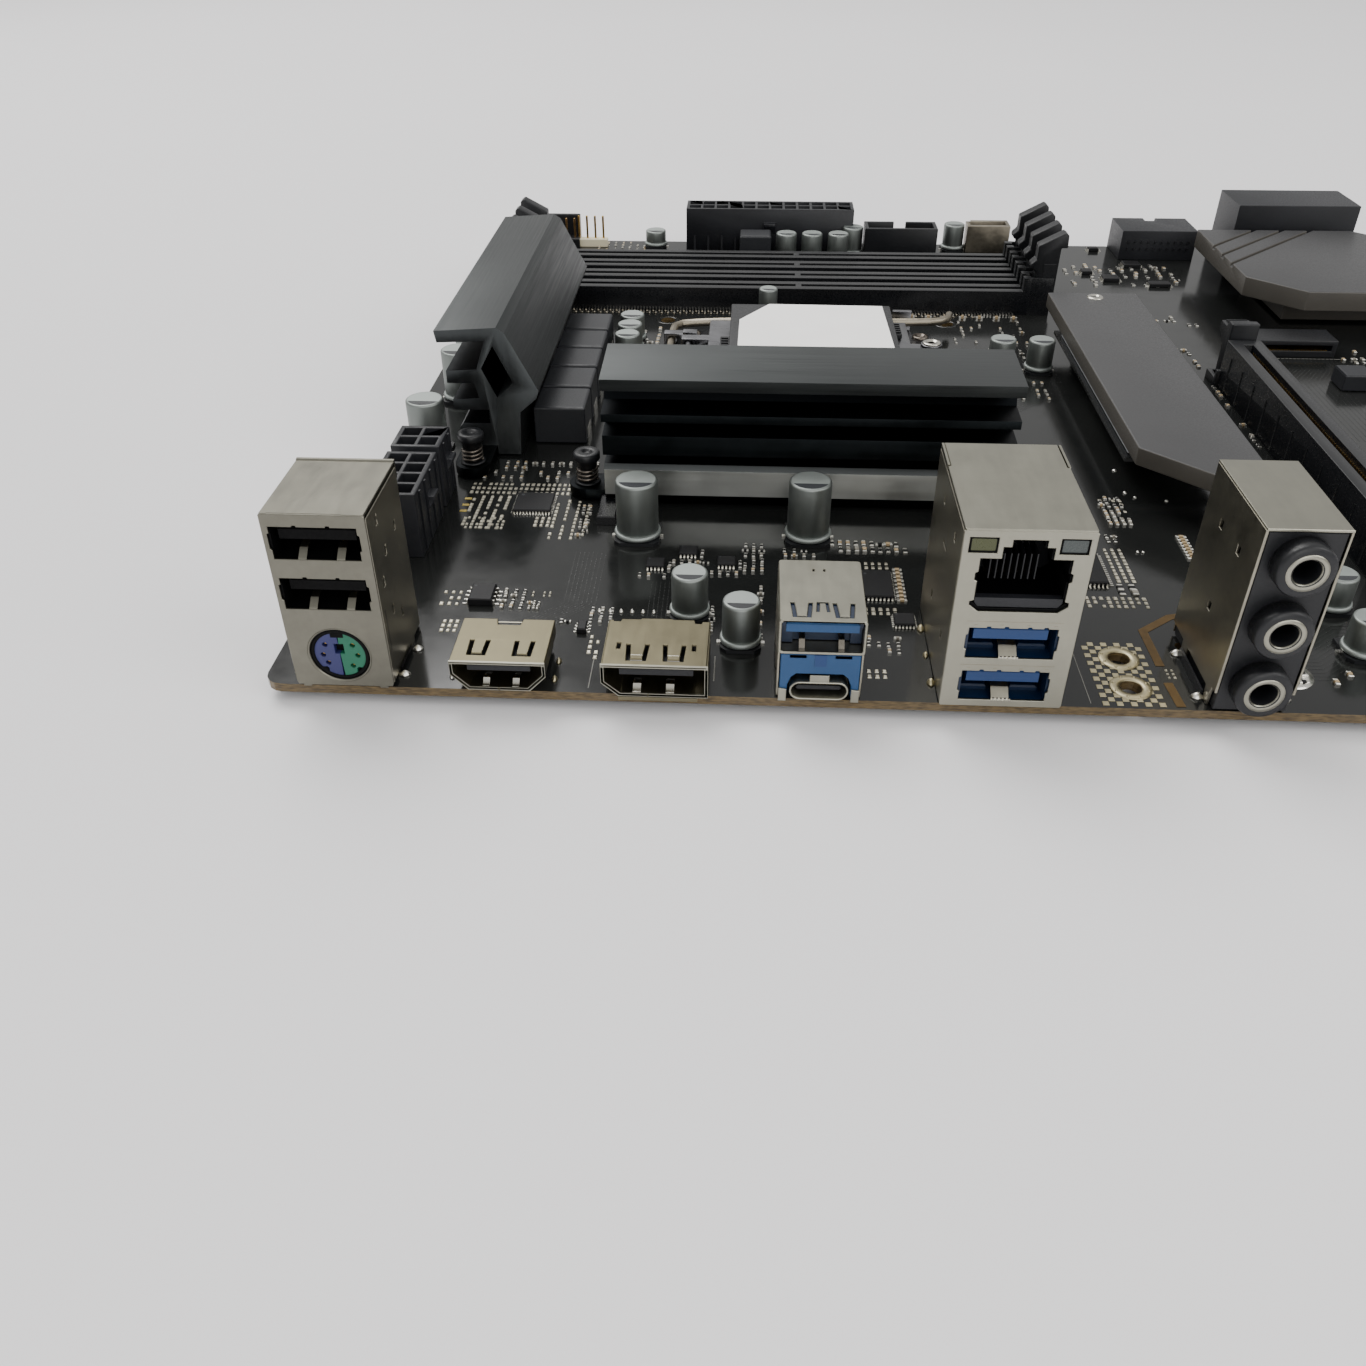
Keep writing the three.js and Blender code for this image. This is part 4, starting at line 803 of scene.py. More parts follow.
def usb_c_mouth(x, y, z):
    """A capsule of drawn steel with a rolled lip, a black tongue and its contacts, with near-black
    painted shade filling the mouth behind them.
    """
    b = Build((x, y, z))
    rings = [((9.2, 3.4), 10), ((9.2, 3.4), 0.12), ((9.0, 3.2), 0.0), ((8.7, 2.95), 0.0),
             ((8.5, 2.75), 0.12), ((8.5, 2.75), 9.8)]
    points = [(a, depth, c) for size, depth in rings for a, c in capsule(*size)]
    b.faces(points, skin(len(rings), len(capsule(1, 1)), closed=True), "nickel", True)
    b.plate(capsule(7.0, 0.75), [], "y", (1.0, 9), "charcoal", 0.1)
    b.plate(capsule(8.46, 2.72), [], "y", (2.2, 9.6), "painted_shade_black", 0.02)
    for a in row(-2.75, 0.5, 12):
        b.box((a - 0.13, a + 0.13), (1.4, 8), (0.36, 0.41), "gold")
    b.look("usb_c_mouth", "steel")


def lan_usb_stack():
    low, high, w, d, h = shell("lan_usb_shell")
    mid, mouths = w / 2, (9.0, 1.2)
    b = Build((low.x, low.y, 0))
    jack = mirrored([(2.8, 26.2), (2.8, 24.0), (2.4, 23.8), (2.4, 22.6), (2.8, 22.4), (2.8, 19.2),
                     (2.2, 19.0), (2.2, 18.4), (3.6, 17.3)], w)
    jack += [(13.1, 26.2), (13.1, 28.1), (11.9, 28.1), (11.9, 29.3), (7.0, 29.3), (7.0, 28.1),
             (5.8, 28.1), (5.8, 26.2)]  # the latch's stepped notch
    windows = [usb_window(2.8, 15.9, z, z + 5.4, (0.22, 0.42, 0.68, 0.86)) for z in mouths]
    windows += [rect(0.9, 5.0, 27.1, 29.6), rect(w - 5.0, w - 0.9, 27.1, 29.6), jack]
    front = mirrored([(0.3, h - 0.3), (0, h - 0.5), (0, 0.4), (0.2, 0.0)], w)
    b.plate(front, windows, "y", (0, 0.5), "nickel", 0.08)
    top = mirrored([(0.5, d - 0.2), (0.5, d - 8.4), (0.1, d - 8.6), (0.1, 0.35), (0.25, 0.1)], w)
    b.plate(top, [], "z", (h - 0.5, h - 0.02), "nickel", 0.1)
    for x0, x1 in ((0.02, 0.38), (w - 0.38, w - 0.02)):
        b.box((x0, x1), (d - 8.3, d - 0.5), (h - 0.8, h + 0.06), "nickel")
    # A pressed line across the front above each USB mouth, with a row of pin pricks.
    for z in (15.5, 7.7):
        b.box((2.3, w - 2.3), (-0.03, 0.02), (z, z + 0.12), "nickel_side")
        for x in row(3.4, 3.9, 4):
            b.box((x, x + 0.5), (-0.04, 0.02), (z - 0.6, z - 0.45), "nickel_side")
    tabs = [rect(y, y + 1, z, z + 1.4) for z in (25.2, 8) for y in (6, 18)]
    side_sheets(b, w, [(0.55, 0.3), (4.6, 0.3), (4.8, 0), (6.4, 0), (6.6, 0.3), (20, 0.3), (20.2, 0),
                       (21.8, 0), (22, 0.3), (d - 0.4, 0.3), (d - 0.4, h - 0.9), (0.55, h - 0.7)],
                [rect(12, 15, 20.4, 21.0)] + tabs)
    b.plate(rect(0.4, w - 0.4, 0.3, h - 0.7), [], "y", (d - 0.45, d - 0.05), "nickel_side")
    for z in mouths:
        springs(b, [mid - 0.15], 2.7, [(0.12, z - 0.15), (0.3, z + 0.15), (1.8, z + 1.3),
                                       (3.4, z + 1.6), (6, z + 0.5)], "nickel_side", 0.22)
        for x in row(mid - 1.3, 0.6, 5):
            b.box((x, x + 0.3), (0.02, 0.3), (z + 0.02, z + 0.3), "steel")
    b.look("lan_usb_shell", "port_shell")

    # Network jack: a near-black lining of painted shade, latch ledge, chamfered sill, its eight wires
    # darkened as painted shade, a near-black block of painted shade behind the latch notch, and two
    # lamps in frames of painted shade.
    b = Build((low.x, low.y, 0))
    lining = [(x + (0.25 if x < mid else -0.25), z - (0.2 if z > 22 else -0.35)) for x, z in jack]
    b.plate(rect(0.7, w - 0.7, 16.7, h - 0.9), [lining], "y", (0.55, 12.5), "painted_shade_black", 0.05)
    b.box((0.7, w - 0.7), (12.5, d - 0.8), (16.7, h - 0.9), "black")
    sill = mirrored([(2.9, 19.3), (2.9, 18.6), (3.5, 17.75)], w)
    b.plate(sill, [], "y", (0.62, 2.0), "charcoal", 0.1)
    for x in row(4.4, 0.95, 8):
        b.tube([(x, 9.0, 24.9), (x, 5.4, 23.6), (x, 3.6, 22.2), (x, 4.2, 21.0)], 0.1, "wire_shade")
        b.box((x + 0.33, x + 0.5), (2.4, 8), (21.6, 25.8), "black")
    b.box((5.9, 13.0), (9.6, 10.4), (26.2, 28.0), "painted_shade_black", 0.1)
    for x, mat in ((0.95, "lamp_olive"), (w - 4.95, "lamp_clear")):
        b.plate(rounded(x + 0.02, x + 4.0, 27.15, 29.5, 0.3),
                [rounded(x + 0.25, x + 3.8, 27.35, 29.3, 0.2)], "y", (0.2, 0.7), "painted_shade_black", 0.05)
        b.box((x + 0.3, x + 3.8), (0.3, 2.4), (27.3, 29.4), mat)
    b.look("lan_jack_housing", "black_plastic")

    b = Build((low.x, low.y, 0))
    # The walls inside and behind the mouths are the blue's darker copy: painted shade.
    wide = (1.4, w - 1.4)
    for z in mouths:
        b.box((3.7, w - 4.0), (0.9, 10), (z + 3.0, z + 4.9), "blue_tongue", 0.25)
        b.box(wide, (8.5, 10), (z - 0.4, z + 5.8), "blue_shade")
        b.box(wide, (0.7, 9), (z + 5.5, z + 5.9), "blue_shade")
        b.box(wide, (0.7, 9), (z - 0.6, z - 0.1), "blue_shade")
        for x0, x1 in ((1.4, 3.0), (w - 2.8, w - 1.4)):
            b.box((x0, x1), (0.7, 9), (z - 0.2, z + 5.7), "blue_shade")
        for x0, x1 in ((3.2, mid - 1.9), (mid + 1.7, w - 3.4)):
            b.box((x0, x1), (3.0, 9), (z - 0.1, z + 0.7), "blue_shade", 0.25)
        for x in row(5.0, 2.4, 4):
            b.box((x, x + 0.9), (1.6, 9), (z + 2.92, z + 3.02), "gold")
    b.box((0.7, w - 0.7), (10, d - 0.8), (0.7, 15.6), "blue_shade")
    b.look("lan_usb_insulator", "insulator_blue")

    b = Build()
    for x in (low.x - 0.6, high.x + 0.6):
        for y in (5.1, 20.6):
            solder(b, x, y, 0.7, 1.0, 0.9, "tin_warm")
        solder(b, x, 12.8, 0.5, 0.8, 0.7, "tin_warm")
    b.done("lan_solder", slot="port_shell")


def audio_stack():
    low, high, w, d, h = shell("audio_jack_shell")
    nose = span("audio_jack_housing")[0].y - low.y
    b = Build((low.x, low.y, 0))
    b.plate(rect(0.1, w - 0.1, 0, d - 0.1), [], "z", (h - 0.5, h - 0.05), "nickel", 0.1)
    side_sheets(b, w, [(0.1, 3.6), (1.6, 3.6), (1.9, 0.1), (3.6, 0.1), (3.8, 2.6), (13.6, 2.6),
                       (13.8, 0.1), (16, 0.1), (16.2, 2.6), (d - 0.2, 2.6), (d - 0.2, h - 0.4),
                       (0.1, h - 0.4)],
                [rect(y, y + 1.2, z, z + 1.4) for y, z in ((6, 24), (14, 24), (10, 12))])
    b.plate(rect(0.4, w - 0.4, 0.6, h - 0.6), [], "y", (d - 0.45, d - 0.05), "nickel_side")
    b.look("audio_jack_shell", "port_shell")

    b = Build((low.x, low.y, 0))
    jacks = [(w / 2, z) for z in (5.4, 16.0, 26.6)]
    b.plate(rect(0.55, w - 0.55, 0.4, h - 0.7), [ring(*jack, 2.4, 24) for jack in jacks], "y",
            (0.3, 5.8), "black", 0.1)
    b.box((0.55, w - 0.55), (5.8, d - 0.7), (0.4, h - 0.7), "black", 0.3)
    for jack in jacks:
        b.lathe([(4.2, 0.35), (4.2, nose + 0.5), (3.9, nose), (2.2, nose), (1.9, nose + 0.4),
                 (1.85, 6), (2.4, 6), (2.4, 0.4)], jack, "y", "black", 36, closed=True)
        b.lathe([(2.95, nose - 0.03), (2.95, nose + 0.1), (1.95, nose + 0.4), (1.95, nose + 0.25),
                 (2.3, nose - 0.03)], jack, "y", "nickel", 32, closed=True)
        b.lathe([(2.3, 5.6), (2.3, 6.4)], jack, "y", "black", 20)
    b.look("audio_jack_housing", "black_plastic")

    b = Build()
    for x in (low.x - 0.7, high.x + 0.7):
        for y in (3.4, 15.2):
            solder(b, x, y, 1.1, 0.9)
    b.box((low.x - 0.45, low.x - 0.1), (3.4, 15), (0.02, 1.5), "black")
    b.done("audio_solder", slot="port_shell")


# ---------------------------------------------------------------- heatsinks, chokes and cans

SPRING_PINS = ("heatsink_pin_side_1", "heatsink_pin_side_2", "heatsink_pin_rear_1",
               "heatsink_pin_rear_2")
SMALL_CANS = (  # x, y, radius, height
    (67.3, 23.6, 3.15, 8.5), (76.2, 15.1, 3.15, 8.5), (8.2, 85, 4, 12.5), (9, 115, 4, 12),
    (9, 130, 4, 12), (9, 145, 4, 12), (45.8, 141, 3.15, 7), (45.8, 148, 3.15, 7),
    (45.8, 155, 3.15, 7), (81, 173, 2.5, 8.3), (138.2, 138.4, 3.15, 8), (147.5, 138, 3.15, 8),
    (86.7, 226.5, 3.15, 8), (94.5, 226.5, 3.15, 8), (102.5, 226.5, 3.15, 8),
    (107.2, 232.4, 3.15, 8.4), (139, 238.2, 3.15, 8), (45.8, 238, 3.15, 5.2), (178, 17, 3.15, 7),
    (187, 17, 3.15, 7), (178, 31, 3.15, 7), (218, 30, 3.15, 7), (240, 22, 3.15, 7),
    (288, 60, 3.15, 7), (270, 120, 3.15, 7))


def facing(face, axis, share=0.8):
    """True for a face that looks along an axis, either way."""
    return abs(face.normal[axis]) > share


def heatsinks():
    # Beside the coat: a cut end, a painted highlight for the foot's front, and painted shade for the
    # gaps and for the fins' fronts.
    finishes = ["cut_end", "foot_face_highlight", "anodised_gap_shade", "fin_front_shade"]
    for node, grain, across in (("vrm_heatsink_side", "anodised_y_shaded", 0),
                                ("vrm_heatsink_rear", "anodised_x", 1)):
        low, high = span(node)
        fins = low.x + 1.6 if across == 0 else low.y
        refined(node, [grain] + finishes, "heatsink_coat", 0.25,
                choose=lambda face: sink_finish(face, across, fins, low, high))
    for node in SPRING_PINS:
        spring_pin(node)


def sink_finish(face, across, fins, low, high):
    """Which finish a face of the extrusion takes: 0 is the anodised coat, 1 a cut end, 2 the foot's
    front, painted bright as a highlight, 3 painted shade in a gap or low down by the pins' ears, and 4
    a fin's front under the top plate, painted darker as shade.

    across is the axis over the fins, and fins is where their tips stand on it.
    """
    spot = (face.calc_center_median() - ORIGIN) / MM
    along = 1 - across
    ear = 5.7  # how far the pins' ears reach at each end
    if not low[along] + ear < spot[along] < high[along] - ear and spot.z < 3.2:
        return 3
    if facing(face, along):
        return 1
    front = face.normal[across] < -0.9
    if 3 < spot.z < 9.2 and face.normal[across] < -0.6:
        return 2 if front else 0
    hidden = spot.z < 25.4 and spot[across] < fins + 11.5
    return (4 if front else 3) if hidden else 0


def spring_pin(node):
    """A push pin: a flanged black head on a coil spring, with a split tip under the board."""
    x, y, low, high = middle(node)
    b = Build()
    top = high.z
    b.lathe([(1.5, top - 3.3), (2.0, top - 3.2), (2.05, top - 1.75), (2.6, top - 1.6),
             (2.7, top - 1.35), (2.7, top - 0.3), (2.4, top), (0.9, top), (0.8, top - 0.4),
             (0.2, top - 0.4)], (x, y), "z", "black", 24)
    b.lathe([(1.05, low.z + 0.2), (1.15, low.z + 1.0), (1.05, top - 2.8)], (x, y), "z", "black", 14)
    for side in (-1, 1):
        b.box((x - 1.0, x + 1.0), (y + side * 0.25 - 0.1, y + side * 0.25 + 0.7 * side),
              (low.z, low.z + 1.2), "black")
    turns, steps = 3.4, 46
    foot, roof = 3.1, top - 3.1
    coil = []
    for share in row(0, 1 / steps, steps + 1):
        t = turns * 2 * math.pi * share
        coil.append((x + 2.0 * math.cos(t), y + 2.0 * math.sin(t), foot + (roof - foot) * share))
    b.tube(coil, 0.3, "bronze")
    b.lathe([(1.2, 2.72), (2.6, 2.72), (2.6, 3.0), (1.2, 3.0)], (x, y), "z", "black", 24,
            closed=True)
    b.look(node, "black_plastic")


def chokes():
    """Two banks of square chokes, each with a soldered lead on two of its sides."""
    count = 5
    for node, along in (("vrm_chokes_side", 1), ("vrm_chokes_rear", 0)):
        low, high = span(node)
        size = (high - low)[1 - along]
        b = Build((low.x, low.y, 0))
        leads = Build((low.x, low.y, 0))
        for run in row(0, ((high - low)[along] - size) / (count - 1), count):
            x, y = (run, 0) if along == 0 else (0, run)
            b.box((x, x + size), (y, y + size), (0.15, high.z), "choke", 0.35)
            for a in (0, size):
                if along == 0:
                    leads.bar(x + size / 2, y + a, 5.2, 0.24, (0.02, 2.4), "tin")
                else:
                    leads.bar(x + a, y + size / 2, 0.24, 5.2, (0.02, 2.4), "tin")
            b.spot(x + 1.6, y + size - 1.7, high.z + 0.004, 0.45, "can_mark", 14)
        b.look(node, "choke_ferrite", bevel=0.3)
        leads.done(node + "_leads", slot="port_shell")


def capacitor(b, x, y, r, h):
    """A surface-mount can: square foot, flared neck, rolled top edge and a dark half-moon."""
    f = r * 1.06
    foot = mirrored([(x - f, y + f), (x - f, y - f + 1), (x - f + 1, y - f)], 2 * x)
    b.prism(foot, (0.02, 0.7), "z", "black")
    b.lathe([(r * 0.99, 0.7), (r * 1.05, 0.85), (r * 1.07, 1.15), (r * 1.04, 1.5),
             (r * 0.965, 1.75), (r * 0.96, 2.0), (r, 2.3), (r, h - 0.5), (r - 0.08, h - 0.2),
             (r - 0.3, h - 0.04), (r - 0.45, h - 0.03)], (x, y), "z", "can", 36)
    b.lathe([(r - 0.42, h - 0.2), (r - 0.42, h - 0.02), (r - 0.47, h)], (x, y), "z", "can_top", 36)
    b.lathe([(r, 0.75), (r * 1.1, 0.9), (r * 1.12, 1.25), (r * 1.09, 1.6), (r * 0.99, 1.85),
             (r * 0.95, 1.4)], (x, y), "z", "can_top", 36, closed=True)
    rim = r - 0.5
    arc = [math.radians(-156 + 132 * i / 14) for i in range(15)]
    b.prism([(x + rim * math.cos(t), y + rim * math.sin(t)) for t in arc],
            (h - 0.05, h + 0.02), "z", "can_mark")
    for lead in (x - f - 0.25, x + f + 0.25):
        b.bar(lead, y, 0.8, 0.8, (0.02, 0.3), "tin")


def capacitors():
    for node in ("filter_capacitor_1", "filter_capacitor_2"):
        x, y, _, high = middle(node)
        b = Build()
        capacitor(b, x, y, 4.0, high.z)
        b.look(node, "capacitor_can")
    b = Build()
    for can in SMALL_CANS:
        capacitor(b, *can)
    b.done("small_capacitors", slot="capacitor_can")
    b = Build()
    for x, y, height, chamfer in (((72.5, 82.0), (222.2, 229.8), 8.0, 0.4),
                                  ((132.2, 136.2), (131, 135), 3.6, 0.3),
                                  ((154, 162.5), (223, 231), 4.4, 0.3),
                                  ((217, 224), (128, 135), 4, 0.3)):
        b.box(x, y, (0.15, height), "choke", chamfer)
    b.done("small_chokes", slot="choke_ferrite", bevel=0.25)


# ---------------------------------------------------------------- power, socket and memory

POWER_PITCH = 4.2


def power_headers():
    pins = Build()
    for node in ("cpu_power_8pin", "cpu_power_4pin", "atx_power_24pin"):
        refined(node, ["charcoal"], "black_plastic", 0.18)
        low, high, w, d, _ = shell(node)
        along_x = node.startswith("atx")
        rows = round(((w if along_x else d) - 1.2) / POWER_PITCH)
        ribs = Build()
        for run in row(0.6 + POWER_PITCH / 2, POWER_PITCH, rows):
            for aside in (-POWER_PITCH / 2, POWER_PITCH / 2):
                x, y = low.x + 4.8 + aside, low.y + run
                if along_x:
                    x, y = low.x + run, high.y - 4.8 + aside
                pins.bar(x, y, 1.1, 1.1, (4.0, 10.2), "brass", 0.2)
            if along_x:
                ribs.bar(low.x + run, low.y + 0.05, 0.6, 0.14, (1.0, 5.4), "charcoal")
            else:
                ribs.bar(low.x + 9.75, low.y + run, 0.4, 0.7, (0.6, 12.6), "charcoal")
                ribs.bar(low.x - 0.1, low.y + run, 0.3, 0.7, (0.6, 12.2), "charcoal")
        ribs.done(node + "_ribs", slot="black_plastic")
    pins.done("power_pins", slot="port_shell")


def cpu_socket():
    for node, mat, slot, width, body in (
            ("cpu_socket_body", "slot_black", "black_plastic", 0.12, "board"),
            ("socket_frame", "loader_steel", "steel", 0.15, "board"),
            ("socket_load_plate", "loader_steel", "steel", 0.2, "load_plate"),
            ("socket_lever", "bronze_shield", "steel", 0.05, "lever"),
            ("socket_backplate", "spring_steel", "steel", 0.2, "board"),
            ("socket_cover", "black", "black_plastic", 0.25, "dust_cover")):
        refined(node, [mat], slot, width, body)
    x, y, _, _ = middle("cpu_socket_body")
    # The land's field of bent contacts, left out under the middle.
    b = Build((x, y, 0))
    pitch, rows = 1.13, 32
    lines = row(-(rows - 1) / 2 * pitch, pitch, rows)
    for a in lines:
        for c in lines:
            if abs(a) >= 6.5 or abs(c) >= 7.5:
                b.box((a - 0.2, a + 0.25), (c - 0.17, c + 0.17), (1.6, 2.05), "gold")
    b.box((-5.6, 5.6), (-6.4, 6.4), (1.55, 2.3), "slot_black", 0.3)
    b.done("socket_contacts", slot="steel")
    # Stamped beads along the load plate.
    x0, x1 = x - 18, x + 18
    b = Build()
    for line in (y - 18.2, y + 18.2):
        b.lathe([(0.45, x0), (0.6, x0 + 0.4), (0.6, x1 - 0.4), (0.45, x1)], (line, 6.1), "x",
                "loader_steel", 10)
    b.done("load_plate_beads", body="load_plate", slot="steel")
    # Cover: grip ribs at two of its edges, and a plain paper label.
    low, high = span("socket_cover")
    b = Build()
    for k in range(5):
        b.box((low.x + 0.3, low.x + 2.0), (y - 3.6 + 1.6 * k, y - 3.0 + 1.6 * k), (7.55, 7.95),
              "black")
        b.box((high.x - 2.0, high.x - 0.3), (y + 8.8 + 1.4 * k, y + 9.3 + 1.4 * k), (7.55, 7.95),
              "black")
    b.done("socket_cover_grips", body="dust_cover", slot="black_plastic")
    b = Build()
    sheet = [(73.5, 119.5), (110.3, 118.2), (109.5, 152.2), (81.0, 152.7), (73.7, 141.0)]
    b.prism(sheet, (high.z + 0.03, high.z + 0.16), "z", "paper")
    b.done("blank_label", body="dust_cover")
    # The shoulder screw in front of the load plate, and the frame's four screws.
    b = Build()
    b.lathe([(2.3, 8.4), (2.1, 8.75), (1.25, 8.85), (1.15, 8.2), (0.1, 8.2)], (x + 28.6, y), "z",
            "steel", 24)
    for dx in (-30, 29):
        for dy in (-23, 23):
            b.lathe([(2.2, 1.2), (2.0, 1.9), (1.1, 2.1), (1.0, 1.6), (0.1, 1.6)], (x + dx, y + dy),
                    "z", "bronze", 20)
    b.done("socket_screws", slot="steel")


def memory():
    contacts, feet = Build(), Build()
    pitch = 0.85
    for i in range(1, 5):
        slot = f"memory_slot_{i}"
        # The slot's upright sides take the darker copy of its black: painted shade.
        refined(slot, ["slot_black", "slot_shade"], "black_plastic", 0.12,
                choose=lambda face: int(face.normal.z < 0.5 and facing(face, 1)))
        for end, side in (("high", 1), ("low", -1)):
            node = f"memory_latch_{i}_{end}"
            refined(node, ["latch_black"], "latch_plastic", 0.3, node)
            latch_grip(node, side)
        _, y, low, high = middle(slot)
        x0, x1 = low.x + 8.2, high.x - 8.2
        for x in row(x0, pitch, int((x1 - x0) / pitch)):
            if 78 < x - low.x < 82:  # the key
                continue
            for side in (-1, 1):
                contacts.bar(x, y + side * 0.9, 0.36, 0.24, (2.4, 5.6), "gold")
                feet.bar(x, y + side * 3.75, 0.4, 1.2, (0.03, 0.45), "tin")
        # Ribs across the slot, in the same darker black of painted shade.
        for x in row(x0 + 1.5, 7.3, 18):
            feet.box((x, x + 0.5), (y - 3.26, y + 3.26), (0.3, 5.2), "slot_shade")
    contacts.done("memory_contacts", slot="steel")
    feet.done("memory_solder_feet", slot="port_shell")


def latch_grip(node, side):
    """Grip ribs down a latch's sloping top, and the rails beside its recess."""
    low, high = span(node)
    b = Build()
    outer = high.x if side > 0 else low.x
    for share in row(0, 1 / 3, 4):
        x = outer - side * (1.6 + 4.9 * share)
        z = high.z - 0.75 - 2.6 * share
        b.box(sorted((x, x + side * 0.7)), (low.y + 0.3, high.y - 0.3), (z - 0.6, z + 0.45),
              "latch_black")
    x = outer - side * 2.2
    for y in (low.y - 0.1, high.y - 0.5):
        b.box(sorted((x, x - side * 3.4)), (y, y + 0.6), (5.5, 13.5), "latch_black", 0.15)
    b.done(node + "_grip", body=node, slot="latch_plastic")


# ---------------------------------------------------------------- headers, slots and cooling

HEADER_PITCH = 2.54


def pin_field(b, x0, y0, columns, rows, z, pitch=HEADER_PITCH, mat="gold", thick=0.62, skip=None):
    for i in range(columns):
        for j in range(rows):
            if (i, j) != skip:
                b.bar(x0 + i * pitch, y0 + j * pitch, thick, thick, z, mat, 0.12)


def edge_headers():
    for node, mat, slot in (("usb3_header_upright", "black", "black_plastic"),
                            ("usb3_header_angled", "charcoal", "black_plastic"),
                            ("usb_c_header", "bronze_shield", "steel"),
                            ("sata_ports", "charcoal", "black_plastic")):
        refined(node, [mat], slot, 0.2)
    pins = Build()
    low, _ = span("usb3_header_upright")
    pin_field(pins, low.x + 2.0, low.y + 3.1, 10, 2, (1.2, 6.4), 2.0, thick=0.5, skip=(0, 0))
    low, _ = span("usb3_header_angled")
    for x in row(low.x + 2.2, 2.0, 10):
        for z in (3.3, 5.3):
            for y0, y1, mat in ((4.8, 11.5, "gold"), (-0.5, 0.2, "black")):
                pins.box((x - 0.25, x + 0.25), (low.y + y0, low.y + y1), (z - 0.25, z + 0.25), mat)
    low, high = span("usb_c_header")
    pins.box((low.x + 2.4, high.x - 2.4), (low.y + 3.1, low.y + 3.9), (1.8, 7.2), "black", 0.2)
    for x in row(low.x + 3.0, 0.75, 10):
        for y in (low.y + 3.0, low.y + 3.85):
            pins.box((x, x + 0.35), (y, y + 0.15), (2.2, 6.8), "gold")
    low, high = span("sata_ports")
    for x0 in (low.x + 5, low.x + 22):
        for z in (3.72, 12.32):
            for x in row(x0, 1.27, 7):
                pins.box((x, x + 0.5), (high.y - 7, high.y - 1.6), (z, z + 0.12), "gold")
    pins.done("header_pins", slot="steel")

    # The lighting header at the far left, the front-panel headers and the two fan headers.
    b = Build()
    for x, y, columns, rows, mat in [(21.5, 238, 4, 1, "cream"), (290, 232, 5, 2, "black"),
                                     (299, 196, 2, 5, "black"), (299, 176, 2, 5, "black"),
                                     (296, 110, 2, 5, "black"), (284, 6.5, 5, 2, "black"),
                                     (252, 6.5, 5, 2, "black"), (224, 6.5, 4, 1, "cream"),
                                     (196, 6.5, 5, 2, "black")]:
        b.box((x - 1.3, x + (columns - 1) * HEADER_PITCH + 1.3),
              (y - 1.3, y + (rows - 1) * HEADER_PITCH + 1.3), (0.05, 2.5), mat, 0.25)
        pin_field(b, x, y, columns, rows, (2.4, 9.3))
    for x, y in ((12.5, 238), (262, 150)):
        b.box((x - 1.6, x + 9.2), (y - 2.9, y + 2.9), (0.05, 3.0), "black", 0.25)
        b.box((x - 1.6, x + 9.2), (y + 1.7, y + 2.9), (2.9, 9.2), "black", 0.25)
        pin_field(b, x, y - 0.4, 4, 1, (2.9, 8.6), mat="brass")
    b.done("pin_headers", slot="black_plastic", bevel=0.08, segments=1)


def expansion_slots():
    gold = Build()
    for i in (1, 2):
        slot, latch = f"pcie_x16_slot_{i}", f"pcie_x16_latch_{i}"
        # The slot's upright sides take the darker copy of its black: painted shade.
        refined(slot, ["slot_black", "slot_shade"], "black_plastic", 0.15,
                choose=lambda face: int(face.normal.z < 0.5 and facing(face, 0)))
        refined(latch, ["latch_black"], "latch_plastic", 0.3, latch)
        x, _, low, _ = middle(slot)
        for y in row(3, 1, 83):
            if not 13 < y < 15.6:  # the key
                for side in (-1, 1):
                    gold.bar(x + side * 1.15, low.y + y, 0.24, 0.5, (3.6, 9.8), "gold")
        # Ribs across the slot, in the same darker black of painted shade.
        for y in row(low.y + 4, 8, 11):
            gold.box((x - 3.86, x + 3.86), (y, y + 0.6), (0.4, 8.6), "slot_shade")
        b = Build()
        low, high = span(latch)
        for y in row(high.y - 3.3, 0.9, 3):
            b.box((low.x + 0.8, high.x - 0.8), (y, y + 0.4), (high.z - 1.7, high.z - 1.15),
                  "latch_black")
        b.done(latch + "_grip", body=latch, slot="latch_plastic")
    gold.done("expansion_contacts", slot="steel")


